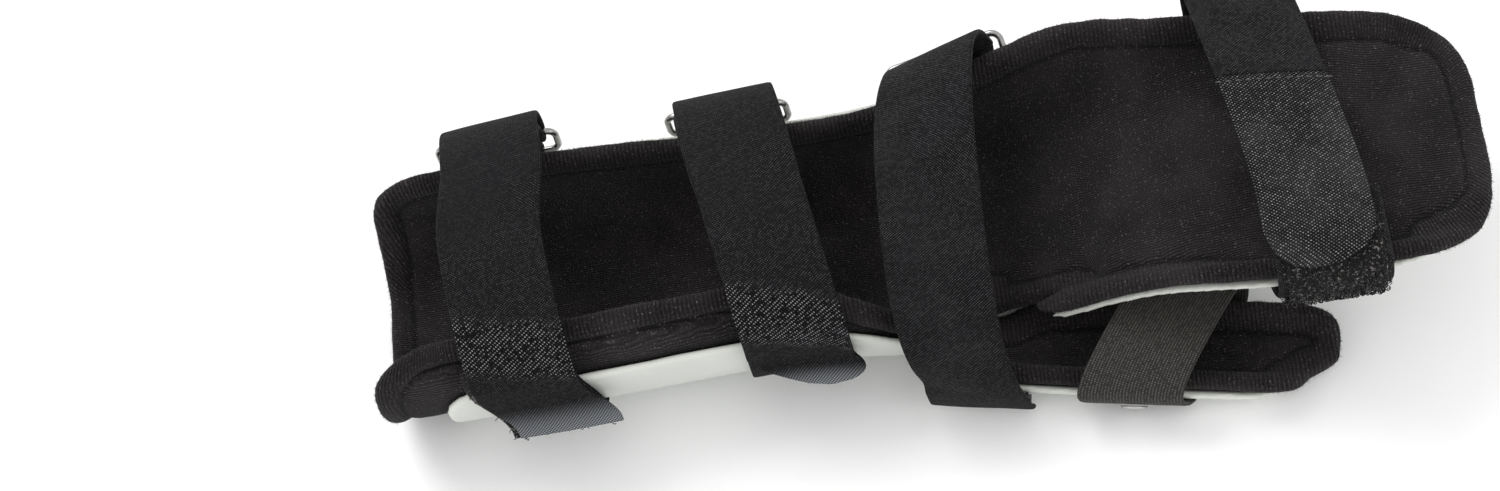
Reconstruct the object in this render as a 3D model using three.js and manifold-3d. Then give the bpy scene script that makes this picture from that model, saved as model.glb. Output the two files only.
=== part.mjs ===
// Resting hand splint: a stiff shell for forearm, palm, fingers and thumb, a padded knit liner
// that runs past the shell's edges, and five straps that close over it.
// Millimetres. +X runs from the elbow end to the fingertips, +Z is the open (dorsal) side,
// +Y is the little-finger side and -Y the thumb side. The shell stands on z = 0, and X counts
// from the liner's heel until the last lines move the origin under the middle of the box.
import * as THREE from "three";
import { mergeVertices } from "three/addons/utils/BufferGeometryUtils.js";
import Module from "manifold-3d";

const wasm = await Module();
wasm.setup();

// Driving dimensions of the shell and the liner
const LINER_LENGTH = 378;
const HEEL_SETBACK = 23;
const TIP_SETBACK = 9;
const TROUGH_HALF_WIDTH = 47;
const SHELL_WALL = 3;
const LINER_THICKNESS = 5.5;
const FLAP = 25;
const FLAP_BEND = 27;
const CLEARANCE = 0.3;

// Driving dimensions of the wrist bend and the thumb trough
const WRIST_AT = 185;
const BEND_LENGTH = 115;
const PALM_RISE = 46;
const FINGER_DROP = 7;
const PAN_SWAY = 5.5;
const THUMB_SIDE = 0.738;
const THUMB_LENGTH = 139;
const THUMB_MOUTH = 15;
const THUMB_SETBACK = 8;
const THUMB_HALF_WIDTH = 19.5;
const THUMB_YAW = 12.3;
const THUMB_FLAP = 7;
const WEB_HEIGHT = 20;
const THUMB_SLANT = 10;
const THUMB_SLANT_RUN = 40;

// Driving dimensions of the straps, the rings and the rivets
const STRAP_WIDTH = 35;
const THUMB_STRAP_WIDTH = 32;
const STRAP_THICKNESS = 2;
const TAB_WIDTH = 30;
const TAB_THICKNESS = 1.5;
const PATCH_THICKNESS = 2.4;
const RING_WIRE = 2.4;
const RING_HEIGHT = 11;
const RING_ROOM = 2;
const RING_CORNER = 1.4;
const RING_SLACK = 0.2;
const RIVET_RADIUS = 4.5;
const RIVET_HEIGHT = 1.6;

// How high the straps arch over the arm, the hand, the fingers and the thumb
const PROXIMAL_ARCH = 27;
const DISTAL_ARCH = 24;
const WRIST_ARCH = 32;
const FINGER_ARCH = 7;
const FINGER_RISE = 8;
const FINGER_SHOULDER = 1;
const THUMB_ARCH = 10.5;

// Where the straps and tabs end: shares of the arc from the middle line to the rim
const STRAP_FOOT = 0.5;
const TAB_FOOT = 0.5;
const WRIST_END = 0.6;
const WRIST_FOLD = 0.76;
const FINGER_FOOT = 0.14;
const GRIP_START = 1.14;
const GRIP_END = 1;
const BASE_FOOT = 0.14;
const BASE_END = 1.1;
const PATCH_FOOT = 0.72;
const PATCH_END = 0.96;
const THUMB_FOOT = 0.5;
const RING_REACH = 0.91;

// Small distances between pieces
const TAB_LEAD = 3;
const TAB_RETURN = 6.6;
const BASE_BORDER = 3;
const PATCH_BORDER = 1.5;
const RIVET_INSET = 7;
const RIVET_GAP = 0.5;
const PAN_ROOM = 0.5;
const SKIN_ROOM = 0.05;

// Where each strap crosses its trough: at is a share of the trough's length along the middle
// line, slope how far it leans towards the fingers per millimetre to the thumb side, and
// tilt how many degrees its ring leans outwards
const CROSSINGS = {
  proximal: { at: 0.1428, slope: 0.1, tilt: 4 },
  distal: { at: 0.3624, slope: 0.16, tilt: 4 },
  wrist: { at: 0.549, slope: 0, tilt: 66 },
  finger: { at: 0.828, slope: 0.15 },
  thumb: { at: 0.5827, slope: -0.45 },
  thumbSide: { at: 0.151, slope: 0 },
};
// The free ends of the forearm straps: a straight drop below the rim, then a curl of some
// radius through some degrees while it swings towards the fingers by lean, with an end that is
// square or rounded over a length
const TAILS = {
  proximal: { drop: 2, curl: 14, turn: 60, lean: 6, roundEnd: 0 },
  distal: { drop: 3.5, curl: 14, turn: 60, lean: 9, roundEnd: 14 },
};
// The wrist strap in its ring, outwards from and above the middle of the ring's opening
const WRIST_PASSAGE = [
  { out: -0.2, rise: -5 },
  { out: 0.4, rise: 0 },
  { out: 0.3, rise: 4 },
  { out: -1.2, rise: 6.2 },
];

// Sections of the main trough, each side of its middle line.
// at is a share of LINER_LENGTH; flat, bend and edge are shares of TROUGH_HALF_WIDTH;
// turn is the wall's slope in degrees; flap is a share of FLAP.
// edge is the arc from the middle line to the shell's edge, and the liner goes on by flap.
const ULNAR = [
  { at: 0.0, flat: 0.19, bend: 0.81, turn: 90, edge: 1.53, flap: 0.3 },
  { at: 0.14, flat: 0.19, bend: 0.81, turn: 90, edge: 1.53, flap: 0.3 },
  { at: 0.35, flat: 0.19, bend: 0.745, turn: 90, edge: 1.47, flap: 0.24 },
  { at: 0.46, flat: 0.22, bend: 0.67, turn: 86, edge: 1.5, flap: 0.16 },
  { at: 0.55, flat: 0.34, bend: 0.6, turn: 72, edge: 1.52, flap: 0.3 },
  { at: 0.65, flat: 0.47, bend: 0.56, turn: 60, edge: 1.44, flap: 0.38 },
  { at: 0.74, flat: 0.66, bend: 0.42, turn: 54, edge: 1.17, flap: 0.34 },
  { at: 0.82, flat: 0.76, bend: 0.34, turn: 50, edge: 1.06, flap: 0.32 },
  { at: 0.9, flat: 0.72, bend: 0.3, turn: 46, edge: 0.98, flap: 0.3 },
  { at: 1.0, flat: 0.68, bend: 0.3, turn: 40, edge: 0.94, flap: 0.3 },
];
const RADIAL = [
  { at: 0.0, flat: 0.19, bend: 0.81, turn: 90, edge: 1.62, flap: 1.0 },
  { at: 0.14, flat: 0.19, bend: 0.81, turn: 90, edge: 1.62, flap: 1.0 },
  { at: 0.36, flat: 0.19, bend: 0.745, turn: 90, edge: 1.58, flap: 1.0 },
  { at: 0.42, flat: 0.21, bend: 0.74, turn: 88, edge: 1.56, flap: 0.7 },
  { at: 0.485, flat: 0.32, bend: 0.72, turn: 82, edge: 1.45, flap: 0.25 },
  { at: 0.55, flat: 0.42, bend: 0.6, turn: 50, edge: 1.0, flap: 0.16 },
  { at: 0.62, flat: 0.55, bend: 0.4, turn: 46, edge: 0.9, flap: 0.3 },
  { at: 0.7, flat: 0.7, bend: 0.32, turn: 66, edge: 0.97, flap: 0.5 },
  { at: 0.8, flat: 0.86, bend: 0.34, turn: 78, edge: 1.2, flap: 0.46 },
  { at: 0.9, flat: 0.82, bend: 0.38, turn: 72, edge: 1.16, flap: 0.44 },
  { at: 1.0, flat: 0.78, bend: 0.42, turn: 60, edge: 1.08, flap: 0.36 },
];
// Sections of the thumb trough: at is a share of THUMB_LENGTH, flat, bend and edge are shares
// of THUMB_HALF_WIDTH, flap is a share of THUMB_FLAP.
const THUMB_ULNAR = [
  { at: 0.0, flat: 0.2, bend: 0.8, turn: 70, edge: 1.1, flap: 0.2 },
  { at: 0.3, flat: 0.2, bend: 0.8, turn: 80, edge: 1.3, flap: 0.5 },
  { at: 0.5, flat: 0.2, bend: 0.8, turn: 80, edge: 1.3, flap: 1.0 },
  { at: 1.0, flat: 0.2, bend: 0.8, turn: 76, edge: 1.24, flap: 1.0 },
];
const THUMB_RADIAL = [
  { at: 0.0, flat: 0.2, bend: 0.78, turn: 82, edge: 1.7, flap: 0.8 },
  { at: 0.14, flat: 0.2, bend: 0.8, turn: 76, edge: 1.5, flap: 0.8 },
  { at: 0.36, flat: 0.2, bend: 0.8, turn: 64, edge: 1.24, flap: 0.8 },
  { at: 1.0, flat: 0.2, bend: 0.8, turn: 64, edge: 1.2, flap: 1.0 },
];
// Rounded corners of each outline: length of the corner, and the share of the width that the
// straight end keeps
const CORNERS = {
  linerHeel: { length: 26, keep: 0.7 },
  linerTip: { length: 34, keep: 0.3 },
  shellHeel: { length: 12, keep: 0.84 },
  shellTip: { length: 30, keep: 0.34 },
  thumbHeel: { length: 10, keep: 0.7 },
  thumbTip: { length: 14, keep: 0.5 },
  thumbTipOuter: { length: 26, keep: 0.3 },
};

// Fineness of the sheets, and how far their rims are rounded, as a share of the thickness
const CORNER_STEPS = 5;
const RIM_ROUNDING = 0.3;
const SKIN_STEP = 4.5;
const ARCH_STEPS = 14;
const ARCH_SQUARENESS = 2.5;
const WRIST_SQUARENESS = 3;
const RING_SQUARENESS = 2.2;
const ARCH_TWIST = 0.7;
const WRIST_BULGE = -8;
const GRIP_SEAM_STEPS = 6;
const STRIP_FINENESS = 1.2;
const END_KEEP = 0.3;
const WIRE_SIDES = 6;
const RIVET_SIDES = 10;
const ROOM_ROWS = 16;
const ROOM_COLUMNS = 7;

const radians = THREE.MathUtils.degToRad;
const smooth = (t) => THREE.MathUtils.smoothstep(t, 0, 1);

// One column of a table at a share of the length, on a smooth curve through its rows
function read(table, column, at) {
  const share = THREE.MathUtils.clamp(at, table[0].at, table[table.length - 1].at);
  let k = 0;
  while (k < table.length - 2 && share > table[k + 1].at) k += 1;
  const slope = (i, j) => (table[j][column] - table[i][column]) / (table[j].at - table[i].at);
  const own = slope(k, k + 1);
  const tangent = (a, b) => (a * b <= 0 ? 0 : (2 * a * b) / (a + b));
  const before = k > 0 ? tangent(slope(k - 1, k), own) : 0;
  const after = k < table.length - 2 ? tangent(own, slope(k + 1, k + 2)) : 0;
  const span = table[k + 1].at - table[k].at;
  const t = (share - table[k].at) / span;
  const rise = smooth(t);
  return (
    table[k][column] * (1 - rise) +
    table[k + 1][column] * rise +
    span * before * t * (1 - t) * (1 - t) -
    span * after * t * t * (1 - t)
  );
}

// A trough: a middle line, a table for each side, and the widest half width they are shares of
function trough(plan) {
  const measure = (x, side, column, size) =>
    read(side > 0 ? plan.ulnar : plan.radial, column, x / plan.length) * size;
  const edge = (x, side) => measure(x, side, "edge", plan.halfWidth);
  const flap = (x, side) => measure(x, side, "flap", plan.flap);

  // Place on the outer face, s measured along the section from the middle line
  function skin(x, s) {
    const side = s < 0 ? -1 : 1;
    const flat = measure(x, side, "flat", plan.halfWidth);
    const bend = measure(x, side, "bend", plan.halfWidth);
    const turn = radians(measure(x, side, "turn", 1));
    const rim = edge(x, side);
    let left = Math.abs(s);
    let y = Math.min(left, flat);
    let z = 0;
    left = Math.max(left - flat, 0);
    const arc = Math.min(left, bend * turn);
    const angle = arc / bend;
    y += bend * Math.sin(angle);
    z += bend * (1 - Math.cos(angle));
    left -= arc;
    const wall = Math.min(left, Math.max(rim - flat - bend * turn, 0));
    y += wall * Math.cos(angle);
    z += wall * Math.sin(angle);
    left -= wall;
    const curl = left / plan.flapBend;
    y += plan.flapBend * (Math.sin(angle + curl) - Math.sin(angle));
    z += plan.flapBend * (Math.cos(angle) - Math.cos(angle + curl));
    return plan.place(x, side * y, z);
  }

  // The same place moved off the outer face, inwards where offset is positive
  function point(x, s, offset) {
    const step = 0.05;
    const here = skin(x, s);
    const along = skin(x + step, s).sub(skin(x - step, s));
    const across = skin(x, s + step).sub(skin(x, s - step));
    return here.addScaledVector(along.cross(across).normalize(), offset);
  }

  // How far along the trough a strap's line is at s: it crosses the middle at x and leans by slope
  function station(line, s, offset) {
    const side = plan.across.dot(point(line.at, s, offset).sub(plan.origin));
    return line.at - line.slope * side;
  }
  const onLine = (line, s, offset) => point(station(line, s, offset), s, offset);

  return { ...plan, edge, flap, point, station, onLine };
}

// Height and side step of the main trough's middle line
const bendShare = (x) => smooth((x - WRIST_AT) / BEND_LENGTH);
const fingerShare = (x) => smooth((x - WRIST_AT - BEND_LENGTH) / (LINER_LENGTH - WRIST_AT));
const baseHeight = (x) => PALM_RISE * bendShare(x) - FINGER_DROP * 2 * fingerShare(x);

const main = trough({
  length: LINER_LENGTH,
  halfWidth: TROUGH_HALF_WIDTH,
  flap: FLAP,
  flapBend: FLAP_BEND,
  ulnar: ULNAR,
  radial: RADIAL,
  origin: new THREE.Vector3(),
  across: new THREE.Vector3(0, 1, 0),
  place: (x, y, z) => new THREE.Vector3(x, y - PAN_SWAY * bendShare(x), z + baseHeight(x)),
});

const thumbAlong = new THREE.Vector3(Math.cos(radians(THUMB_YAW)), -Math.sin(radians(THUMB_YAW)), 0);
const thumbAcross = new THREE.Vector3(-thumbAlong.y, thumbAlong.x, 0);
const thumbOrigin = new THREE.Vector3(WRIST_AT, -THUMB_SIDE * TROUGH_HALF_WIDTH, 0);
const thumb = trough({
  length: THUMB_LENGTH,
  halfWidth: THUMB_HALF_WIDTH,
  flap: THUMB_FLAP,
  flapBend: THUMB_HALF_WIDTH,
  ulnar: THUMB_ULNAR,
  radial: THUMB_RADIAL,
  origin: thumbOrigin,
  across: thumbAcross,
  place: (x, y, z) =>
    new THREE.Vector3(0, 0, z)
      .add(thumbOrigin)
      .addScaledVector(thumbAlong, x)
      .addScaledVector(thumbAcross, y),
});

// Share of the full width at a distance from an end with rounded corners
function cornerShare(distance, corner) {
  const t = THREE.MathUtils.clamp(1 - distance / corner.length, 0, 1);
  return corner.keep + (1 - corner.keep) * Math.sqrt(1 - t * t);
}

// Stops along a length, closer together in the rounded corners
function stops(start, end, heel, tip, inCorner, between) {
  const list = [];
  for (let i = 0; i < inCorner; i += 1) {
    const angle = (i / inCorner) * (Math.PI / 2);
    list.push(start + heel.length * (1 - Math.cos(angle)));
  }
  const from = start + heel.length;
  const to = end - tip.length;
  for (let i = 0; i <= between; i += 1) list.push(from + ((to - from) * i) / between);
  for (let i = inCorner - 1; i >= 0; i -= 1) {
    const angle = (i / inCorner) * (Math.PI / 2);
    list.push(end - tip.length * (1 - Math.cos(angle)));
  }
  return list;
}

// Turns rows of points into one closed solid: a lower face, an upper face and, where given,
// a ring of rim points between them
function closedSheet(lower, upper, rim) {
  const rows = lower.length;
  const columns = lower[0].length;
  const positions = [];
  const index = [];
  const layers = [lower, upper, ...(rim ? [rim] : [])].map((layer) =>
    layer.map((row) => row.map((p) => positions.push(p.x, p.y, p.z) / 3 - 1)),
  );
  const [low, high, mid] = layers;
  const quad = (a, b, c, d) => index.push(a, b, c, a, c, d);
  for (let i = 0; i < rows - 1; i += 1) {
    for (let j = 0; j < columns - 1; j += 1) {
      quad(high[i][j], high[i + 1][j], high[i + 1][j + 1], high[i][j + 1]);
      quad(low[i][j], low[i][j + 1], low[i + 1][j + 1], low[i + 1][j]);
    }
  }
  const loop = [];
  for (let i = 0; i < rows - 1; i += 1) loop.push([i, 0]);
  for (let j = 0; j < columns - 1; j += 1) loop.push([rows - 1, j]);
  for (let i = rows - 1; i > 0; i -= 1) loop.push([i, columns - 1]);
  for (let j = columns - 1; j > 0; j -= 1) loop.push([0, j]);
  loop.forEach(([i, j], k) => {
    const [m, n] = loop[(k + 1) % loop.length];
    if (!mid) {
      quad(low[i][j], low[m][n], high[m][n], high[i][j]);
      return;
    }
    quad(low[i][j], low[m][n], mid[m][n], mid[i][j]);
    quad(mid[i][j], mid[m][n], high[m][n], high[i][j]);
  });
  const geometry = new THREE.BufferGeometry();
  geometry.setAttribute("position", new THREE.Float32BufferAttribute(positions, 3));
  geometry.setIndex(index);
  return geometry;
}

// Arc from the middle line to one of a sheet's columns: some up to the shell's edge, the rest
// over the liner's flap
function columnReach(form, shape, x, side, column) {
  const edge = form.edge(x, side);
  if (column <= shape.columns) return (edge * column) / shape.columns;
  return edge + (form.flap(x, side) * (column - shape.columns)) / shape.flapColumns;
}

// A sheet that follows a trough between two offsets from its outer face. Its outer side, away
// from the little finger, may have a tip corner of its own and end sooner by a slant
function sheet(form, shape, low, high, grow = 0) {
  const { start, end, heel, tip, outerTip = tip, slant = 0 } = shape;
  const last = shape.columns + shape.flapColumns;
  const inset = (high - low) * RIM_ROUNDING;
  const cornerOf = (corner) => ({ length: corner.length / (end - start) });
  const along = stops(0, 1, cornerOf(heel), cornerOf(outerTip), CORNER_STEPS, shape.rows);
  const face = (offset, pull) =>
    along.map((share) => {
      const from = start - grow + pull;
      const x = from + (end + grow - pull - from) * share;
      const run = (end - start) * share;
      const left = end - start - run;
      const cut = slant * smooth(1 - left / THUMB_SLANT_RUN);
      const row = [];
      for (let j = -last; j <= last; j += 1) {
        const side = Math.sign(j) || 1;
        const corner = side > 0 ? tip : outerTip;
        const round = Math.min(cornerShare(run, heel), cornerShare(left, corner));
        const full = columnReach(form, shape, x, side, last);
        const scale = (full * round + grow - pull) / full;
        const s = columnReach(form, shape, x, side, Math.abs(j)) * scale;
        const station = side > 0 ? x : x - (cut * Math.abs(j)) / last;
        row.push(form.point(station, side * s, offset));
      }
      return row;
    });
  return closedSheet(face(low, inset), face(high, inset), face((low + high) / 2, 0));
}

// The room above a trough's inner face, up to a flat lid
function roomAbove(form, from, to, offset, lid) {
  const lower = [];
  for (let i = 0; i <= ROOM_ROWS; i += 1) {
    const x = from + ((to - from) * i) / ROOM_ROWS;
    const row = [];
    for (let j = -ROOM_COLUMNS; j <= ROOM_COLUMNS; j += 1) {
      const side = Math.sign(j) || 1;
      const reach = form.edge(x, side) + form.flap(x, side);
      row.push(form.point(x, (j / ROOM_COLUMNS) * reach, offset));
    }
    lower.push(row);
  }
  const lidAt = (p) => new THREE.Vector3(p.x, p.y, Math.max(lid, p.z + CLEARANCE));
  const upper = lower.map((row) => row.map(lidAt));
  return closedSheet(lower, upper);
}

// Solids that can be joined and cut
function solid(geometry) {
  const bare = geometry.clone();
  bare.deleteAttribute("normal");
  bare.deleteAttribute("uv");
  const merged = mergeVertices(bare, 1e-4);
  const vertProperties = new Float32Array(merged.attributes.position.array);
  const triVerts = new Uint32Array(merged.index.array);
  return new wasm.Manifold(new wasm.Mesh({ numProp: 3, vertProperties, triVerts }));
}

function largest(made) {
  return made.decompose().reduce((a, b) => (b.volume() > a.volume() ? b : a));
}

function geometryOf(made) {
  const { numProp, numVert, vertProperties, triVerts } = made.getMesh();
  const positions = new Float32Array(numVert * 3);
  for (let i = 0; i < numVert; i += 1) {
    positions.set(vertProperties.subarray(i * numProp, i * numProp + 3), i * 3);
  }
  const geometry = new THREE.BufferGeometry();
  geometry.setAttribute("position", new THREE.BufferAttribute(positions, 3));
  geometry.setIndex(new THREE.BufferAttribute(triVerts, 1));
  return geometry;
}

// Outlines of the four sheets
const linerFloor = SHELL_WALL + 2 * CLEARANCE;
const linerTop = linerFloor + LINER_THICKNESS;
const shapes = {
  shell: {
    start: HEEL_SETBACK,
    end: LINER_LENGTH - TIP_SETBACK,
    heel: CORNERS.shellHeel,
    tip: CORNERS.shellTip,
    rows: 17,
    columns: 9,
    flapColumns: 0,
  },
  liner: {
    start: 0,
    end: LINER_LENGTH,
    heel: CORNERS.linerHeel,
    tip: CORNERS.linerTip,
    rows: 17,
    columns: 9,
    flapColumns: 2,
  },
  thumbShell: {
    start: 0,
    end: THUMB_LENGTH - THUMB_SETBACK,
    heel: CORNERS.thumbHeel,
    tip: CORNERS.thumbTip,
    outerTip: CORNERS.thumbTipOuter,
    slant: THUMB_SLANT,
    rows: 6,
    columns: 5,
    flapColumns: 0,
  },
  thumbLiner: {
    start: 0,
    end: THUMB_LENGTH,
    heel: CORNERS.thumbHeel,
    tip: CORNERS.thumbTip,
    outerTip: CORNERS.thumbTipOuter,
    slant: THUMB_SLANT,
    rows: 6,
    columns: 5,
    flapColumns: 1,
  },
};

// Rooms inside the two troughs, which keep each one's walls out of the other's hollow
const overPalm = (offset) =>
  solid(roomAbove(main, WRIST_AT, LINER_LENGTH, offset, 2 * PALM_RISE));
const overThumb = (offset) =>
  solid(roomAbove(thumb, THUMB_MOUTH, THUMB_LENGTH, offset, WEB_HEIGHT + offset));

// What a sheet takes up, with the clearance that other pieces keep to it
const withClearance = (form, shape, low, high) =>
  solid(sheet(form, shape, low - CLEARANCE, high + CLEARANCE, CLEARANCE));

function makeShell() {
  const palm = solid(sheet(main, shapes.shell, 0, SHELL_WALL));
  const spoon = solid(sheet(thumb, shapes.thumbShell, 0, SHELL_WALL));
  return largest(palm.subtract(overThumb(SHELL_WALL)).add(spoon.subtract(overPalm(SHELL_WALL))));
}

function makeLiner() {
  const palm = solid(sheet(main, shapes.liner, linerFloor, linerTop));
  const spoonShell = withClearance(thumb, shapes.thumbShell, 0, SHELL_WALL);
  return largest(palm.subtract(overThumb(linerTop)).subtract(spoonShell));
}

function makeThumbLiner() {
  const spoon = solid(sheet(thumb, shapes.thumbLiner, linerFloor, linerTop));
  const palmShell = withClearance(main, shapes.shell, 0, SHELL_WALL);
  const palmLiner = withClearance(main, shapes.liner, linerFloor, linerTop);
  return largest(spoon.subtract(palmShell).subtract(palmLiner).subtract(overPalm(linerTop)));
}

// A flat band through lines of places side by side, one line for each edge and one between
function band(edges, plan) {
  const rows = edges[0].length;
  const last = edges.length - 1;
  const lower = [];
  const upper = [];
  for (let i = 0; i < rows; i += 1) {
    const before = Math.max(i - 1, 0);
    const after = Math.min(i + 1, rows - 1);
    const across = edges[last][i].clone().sub(edges[0][i]);
    const middle = edges[1][i];
    const toEnd = middle.distanceTo(edges[1][rows - 1]);
    const lift = plan.roundEnd ? THREE.MathUtils.clamp(1 - toEnd / plan.roundEnd, 0, 1) : 0;
    const keep = END_KEEP + (1 - END_KEEP) * Math.sqrt(1 - lift * lift);
    const faces = edges.map((edge) => {
      const along = edge[after].clone().sub(edge[before]);
      const facing = along.cross(across).normalize();
      const place = middle.clone().lerp(edge[i], keep);
      return [-0.5, 0.5].map((share) => place.clone().addScaledVector(facing, share * plan.thickness));
    });
    lower.push(faces.map((face) => face[0]));
    upper.push(faces.map((face) => face[1]));
  }
  return closedSheet(lower, upper);
}

// A strap's line moved sideways, and the three lines that a band of some width needs
const beside = (line, shift) => ({ ...line, at: line.at + shift * Math.hypot(1, line.slope) });
const edgesOf = (line, width, route) =>
  [-width / 2, 0, width / 2].map((shift) => route(beside(line, shift), shift));

const archForm = { first: ARCH_SQUARENESS, second: ARCH_SQUARENESS };

// Over its ring a strap lies flatter at its elbow edge than at its other edge
const squarenessOverRing = (shift) => RING_SQUARENESS + (ARCH_TWIST * shift) / STRAP_WIDTH;

// Places on an arch between two ends, without the ends: a flattened half oval, whose halves may
// be flattened differently
function arch(from, to, height, { first, second, bulge = 0 } = archForm) {
  const places = [];
  for (let i = 1; i < ARCH_STEPS; i += 1) {
    const angle = (Math.PI * i) / ARCH_STEPS;
    const power = 2 / (2 * i < ARCH_STEPS ? first : second);
    const swing = Math.sign(Math.cos(angle)) * Math.abs(Math.cos(angle)) ** power;
    const rise = Math.sin(angle) ** power;
    const place = from.clone().lerp(to, (1 - swing) / 2);
    place.z += height * rise;
    place.x += bulge * rise;
    places.push(place);
  }
  return places;
}

// Steps that a band needs on a stretch of skin
const stepsFor = (length) => Math.max(2, Math.ceil(Math.abs(length) / SKIN_STEP));

// Places along a trough's skin from one arc length to another
function alongSkin(form, line, from, to, offset, count) {
  const places = [];
  for (let i = 0; i <= count; i += 1) {
    places.push(form.onLine(line, from + ((to - from) * i) / count, offset));
  }
  return places;
}

// Places round a bar, from one side to the other, in steps of thirty degrees
function aroundBar(bar, radius, first, second, from, to) {
  const places = [];
  for (let degrees = from; degrees <= to; degrees += 30) {
    places.push(
      bar
        .clone()
        .addScaledVector(first, radius * Math.cos(radians(degrees)))
        .addScaledVector(second, radius * Math.sin(radians(degrees))),
    );
  }
  return places;
}

const last = (list) => list[list.length - 1];
const up = new THREE.Vector3(0, 0, 1);
const rimOf = (form, line, side) => form.edge(line.at, side) + form.flap(line.at, side);

// Distances from the shell's outer face to the middle of each layer outside it
const strapSeat = -(CLEARANCE + SKIN_ROOM + STRAP_THICKNESS / 2);
const baseSeat = strapSeat - PAN_ROOM;
const layerStep = STRAP_THICKNESS + CLEARANCE;
const tabSeat = -(CLEARANCE + TAB_THICKNESS / 2);
const tabOuterSeat = tabSeat - TAB_THICKNESS - CLEARANCE;
const barSeat = -(2 * CLEARANCE + TAB_THICKNESS + RING_WIRE / 2 + RING_SLACK);
const patchSeat = -(CLEARANCE + PATCH_THICKNESS / 2);
const onPatchSeat = -(3 * CLEARANCE + PATCH_THICKNESS + STRAP_THICKNESS / 2);
const onBaseSeat = baseSeat - STRAP_THICKNESS / 2 - CLEARANCE - PATCH_THICKNESS / 2;
const gripSeat = onBaseSeat - PATCH_THICKNESS / 2 - CLEARANCE - STRAP_THICKNESS / 2;

const onTrough = (form, crossing) => ({ ...crossing, at: crossing.at * form.length });
const lines = {
  proximal: onTrough(main, CROSSINGS.proximal),
  distal: onTrough(main, CROSSINGS.distal),
  wrist: onTrough(main, CROSSINGS.wrist),
  finger: onTrough(main, CROSSINGS.finger),
  thumb: onTrough(thumb, CROSSINGS.thumb),
  thumbSide: onTrough(thumb, CROSSINGS.thumbSide),
};

// A ring's place: the middle of its held bar, the bar's direction and the way to its free bar
function ringPlan(line) {
  const barReach = main.edge(line.at, 1) * RING_REACH;
  const onWall = (shift) => main.onLine(beside(line, shift), barReach, barSeat);
  const across = onWall(STRAP_WIDTH / 2).sub(onWall(-STRAP_WIDTH / 2)).normalize();
  const outward = up.clone().cross(across).normalize();
  const rise = across.clone().cross(outward);
  const lean = radians(line.tilt);
  const out = outward.clone().multiplyScalar(Math.sin(lean)).addScaledVector(rise, Math.cos(lean));
  return { line, barReach, held: onWall(0), across, outward, rise, out };
}
const rings = {
  proximal: ringPlan(lines.proximal),
  distal: ringPlan(lines.distal),
  wrist: ringPlan(lines.wrist),
};
const tabFoot = (line) => main.edge(line.at, 1) * TAB_FOOT;
const strapFoot = (line) => main.edge(line.at, -1) * STRAP_FOOT;

// A wire loop: a rectangle with rounded corners, held by one long bar
function ringGeometry(ring) {
  const halfLength = STRAP_WIDTH / 2 + RING_ROOM + RING_WIRE / 2;
  const corner = RING_WIRE * RING_CORNER;
  const centres = [
    { u: halfLength - corner, v: RING_HEIGHT - corner, from: 0 },
    { u: corner - halfLength, v: RING_HEIGHT - corner, from: 90 },
    { u: corner - halfLength, v: corner, from: 180 },
    { u: halfLength - corner, v: corner, from: 270 },
  ];
  const path = centres.flatMap(({ u, v, from }) =>
    [0, 45, 90].map((more) => ({ u, v, angle: radians(from + more) })),
  );
  const normal = ring.across.clone().cross(ring.out);
  const positions = [];
  const index = [];
  path.forEach(({ u, v, angle }, i) => {
    const outward = ring.across
      .clone()
      .multiplyScalar(Math.cos(angle))
      .addScaledVector(ring.out, Math.sin(angle));
    const centre = ring.held
      .clone()
      .addScaledVector(ring.across, u)
      .addScaledVector(ring.out, v)
      .addScaledVector(outward, corner);
    const next = ((i + 1) % path.length) * WIRE_SIDES;
    const here = i * WIRE_SIDES;
    for (let k = 0; k < WIRE_SIDES; k += 1) {
      const turn = (2 * Math.PI * k) / WIRE_SIDES;
      const place = centre
        .clone()
        .addScaledVector(outward, (RING_WIRE / 2) * Math.cos(turn))
        .addScaledVector(normal, (RING_WIRE / 2) * Math.sin(turn));
      positions.push(place.x, place.y, place.z);
      const turned = (k + 1) % WIRE_SIDES;
      index.push(here + k, next + k, next + turned, here + k, next + turned, here + turned);
    }
  });
  const geometry = new THREE.BufferGeometry();
  geometry.setAttribute("position", new THREE.Float32BufferAttribute(positions, 3));
  geometry.setIndex(index);
  return geometry;
}

// A doubled tab: up the shell's wall, round the ring's held bar and back down over itself
function tabGeometry(ring) {
  const around = RING_WIRE / 2 + CLEARANCE + TAB_THICKNESS / 2;
  const inward = ring.outward.clone().negate();
  const foot = tabFoot(ring.line);
  const steps = stepsFor(ring.barReach - foot);
  const route = (line, shift) => {
    const bar = ring.held.clone().addScaledVector(ring.across, shift);
    return [
      ...alongSkin(main, line, foot, ring.barReach - TAB_LEAD, tabSeat, steps),
      ...aroundBar(bar, around, inward, ring.rise, 0, 210),
      ...alongSkin(main, line, ring.barReach - TAB_RETURN, foot, tabOuterSeat, steps),
    ];
  };
  return band(edgesOf(ring.line, TAB_WIDTH, route), { thickness: TAB_THICKNESS });
}

// A domed rivet head on the skin of a trough
const rivetDome = [
  { radius: 0, height: 0 },
  { radius: 1, height: 0 },
  { radius: 0.94, height: 0.5 },
  { radius: 0.6, height: 0.92 },
  { radius: 0, height: 1 },
];
const rivetProfile = rivetDome.map(
  ({ radius, height }) => new THREE.Vector2(radius * RIVET_RADIUS, height * RIVET_HEIGHT),
);
function rivetGeometry(form, line, s, seat) {
  const x = form.station(line, s, seat);
  const foot = form.point(x, s, seat - RIVET_GAP);
  const outward = form.point(x, s, seat - 1).sub(form.point(x, s, seat)).normalize();
  const geometry = new THREE.LatheGeometry(rivetProfile, RIVET_SIDES);
  const turn = new THREE.Quaternion().setFromUnitVectors(new THREE.Vector3(0, 1, 0), outward);
  return geometry.applyQuaternion(turn).translate(foot.x, foot.y, foot.z);
}

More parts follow.
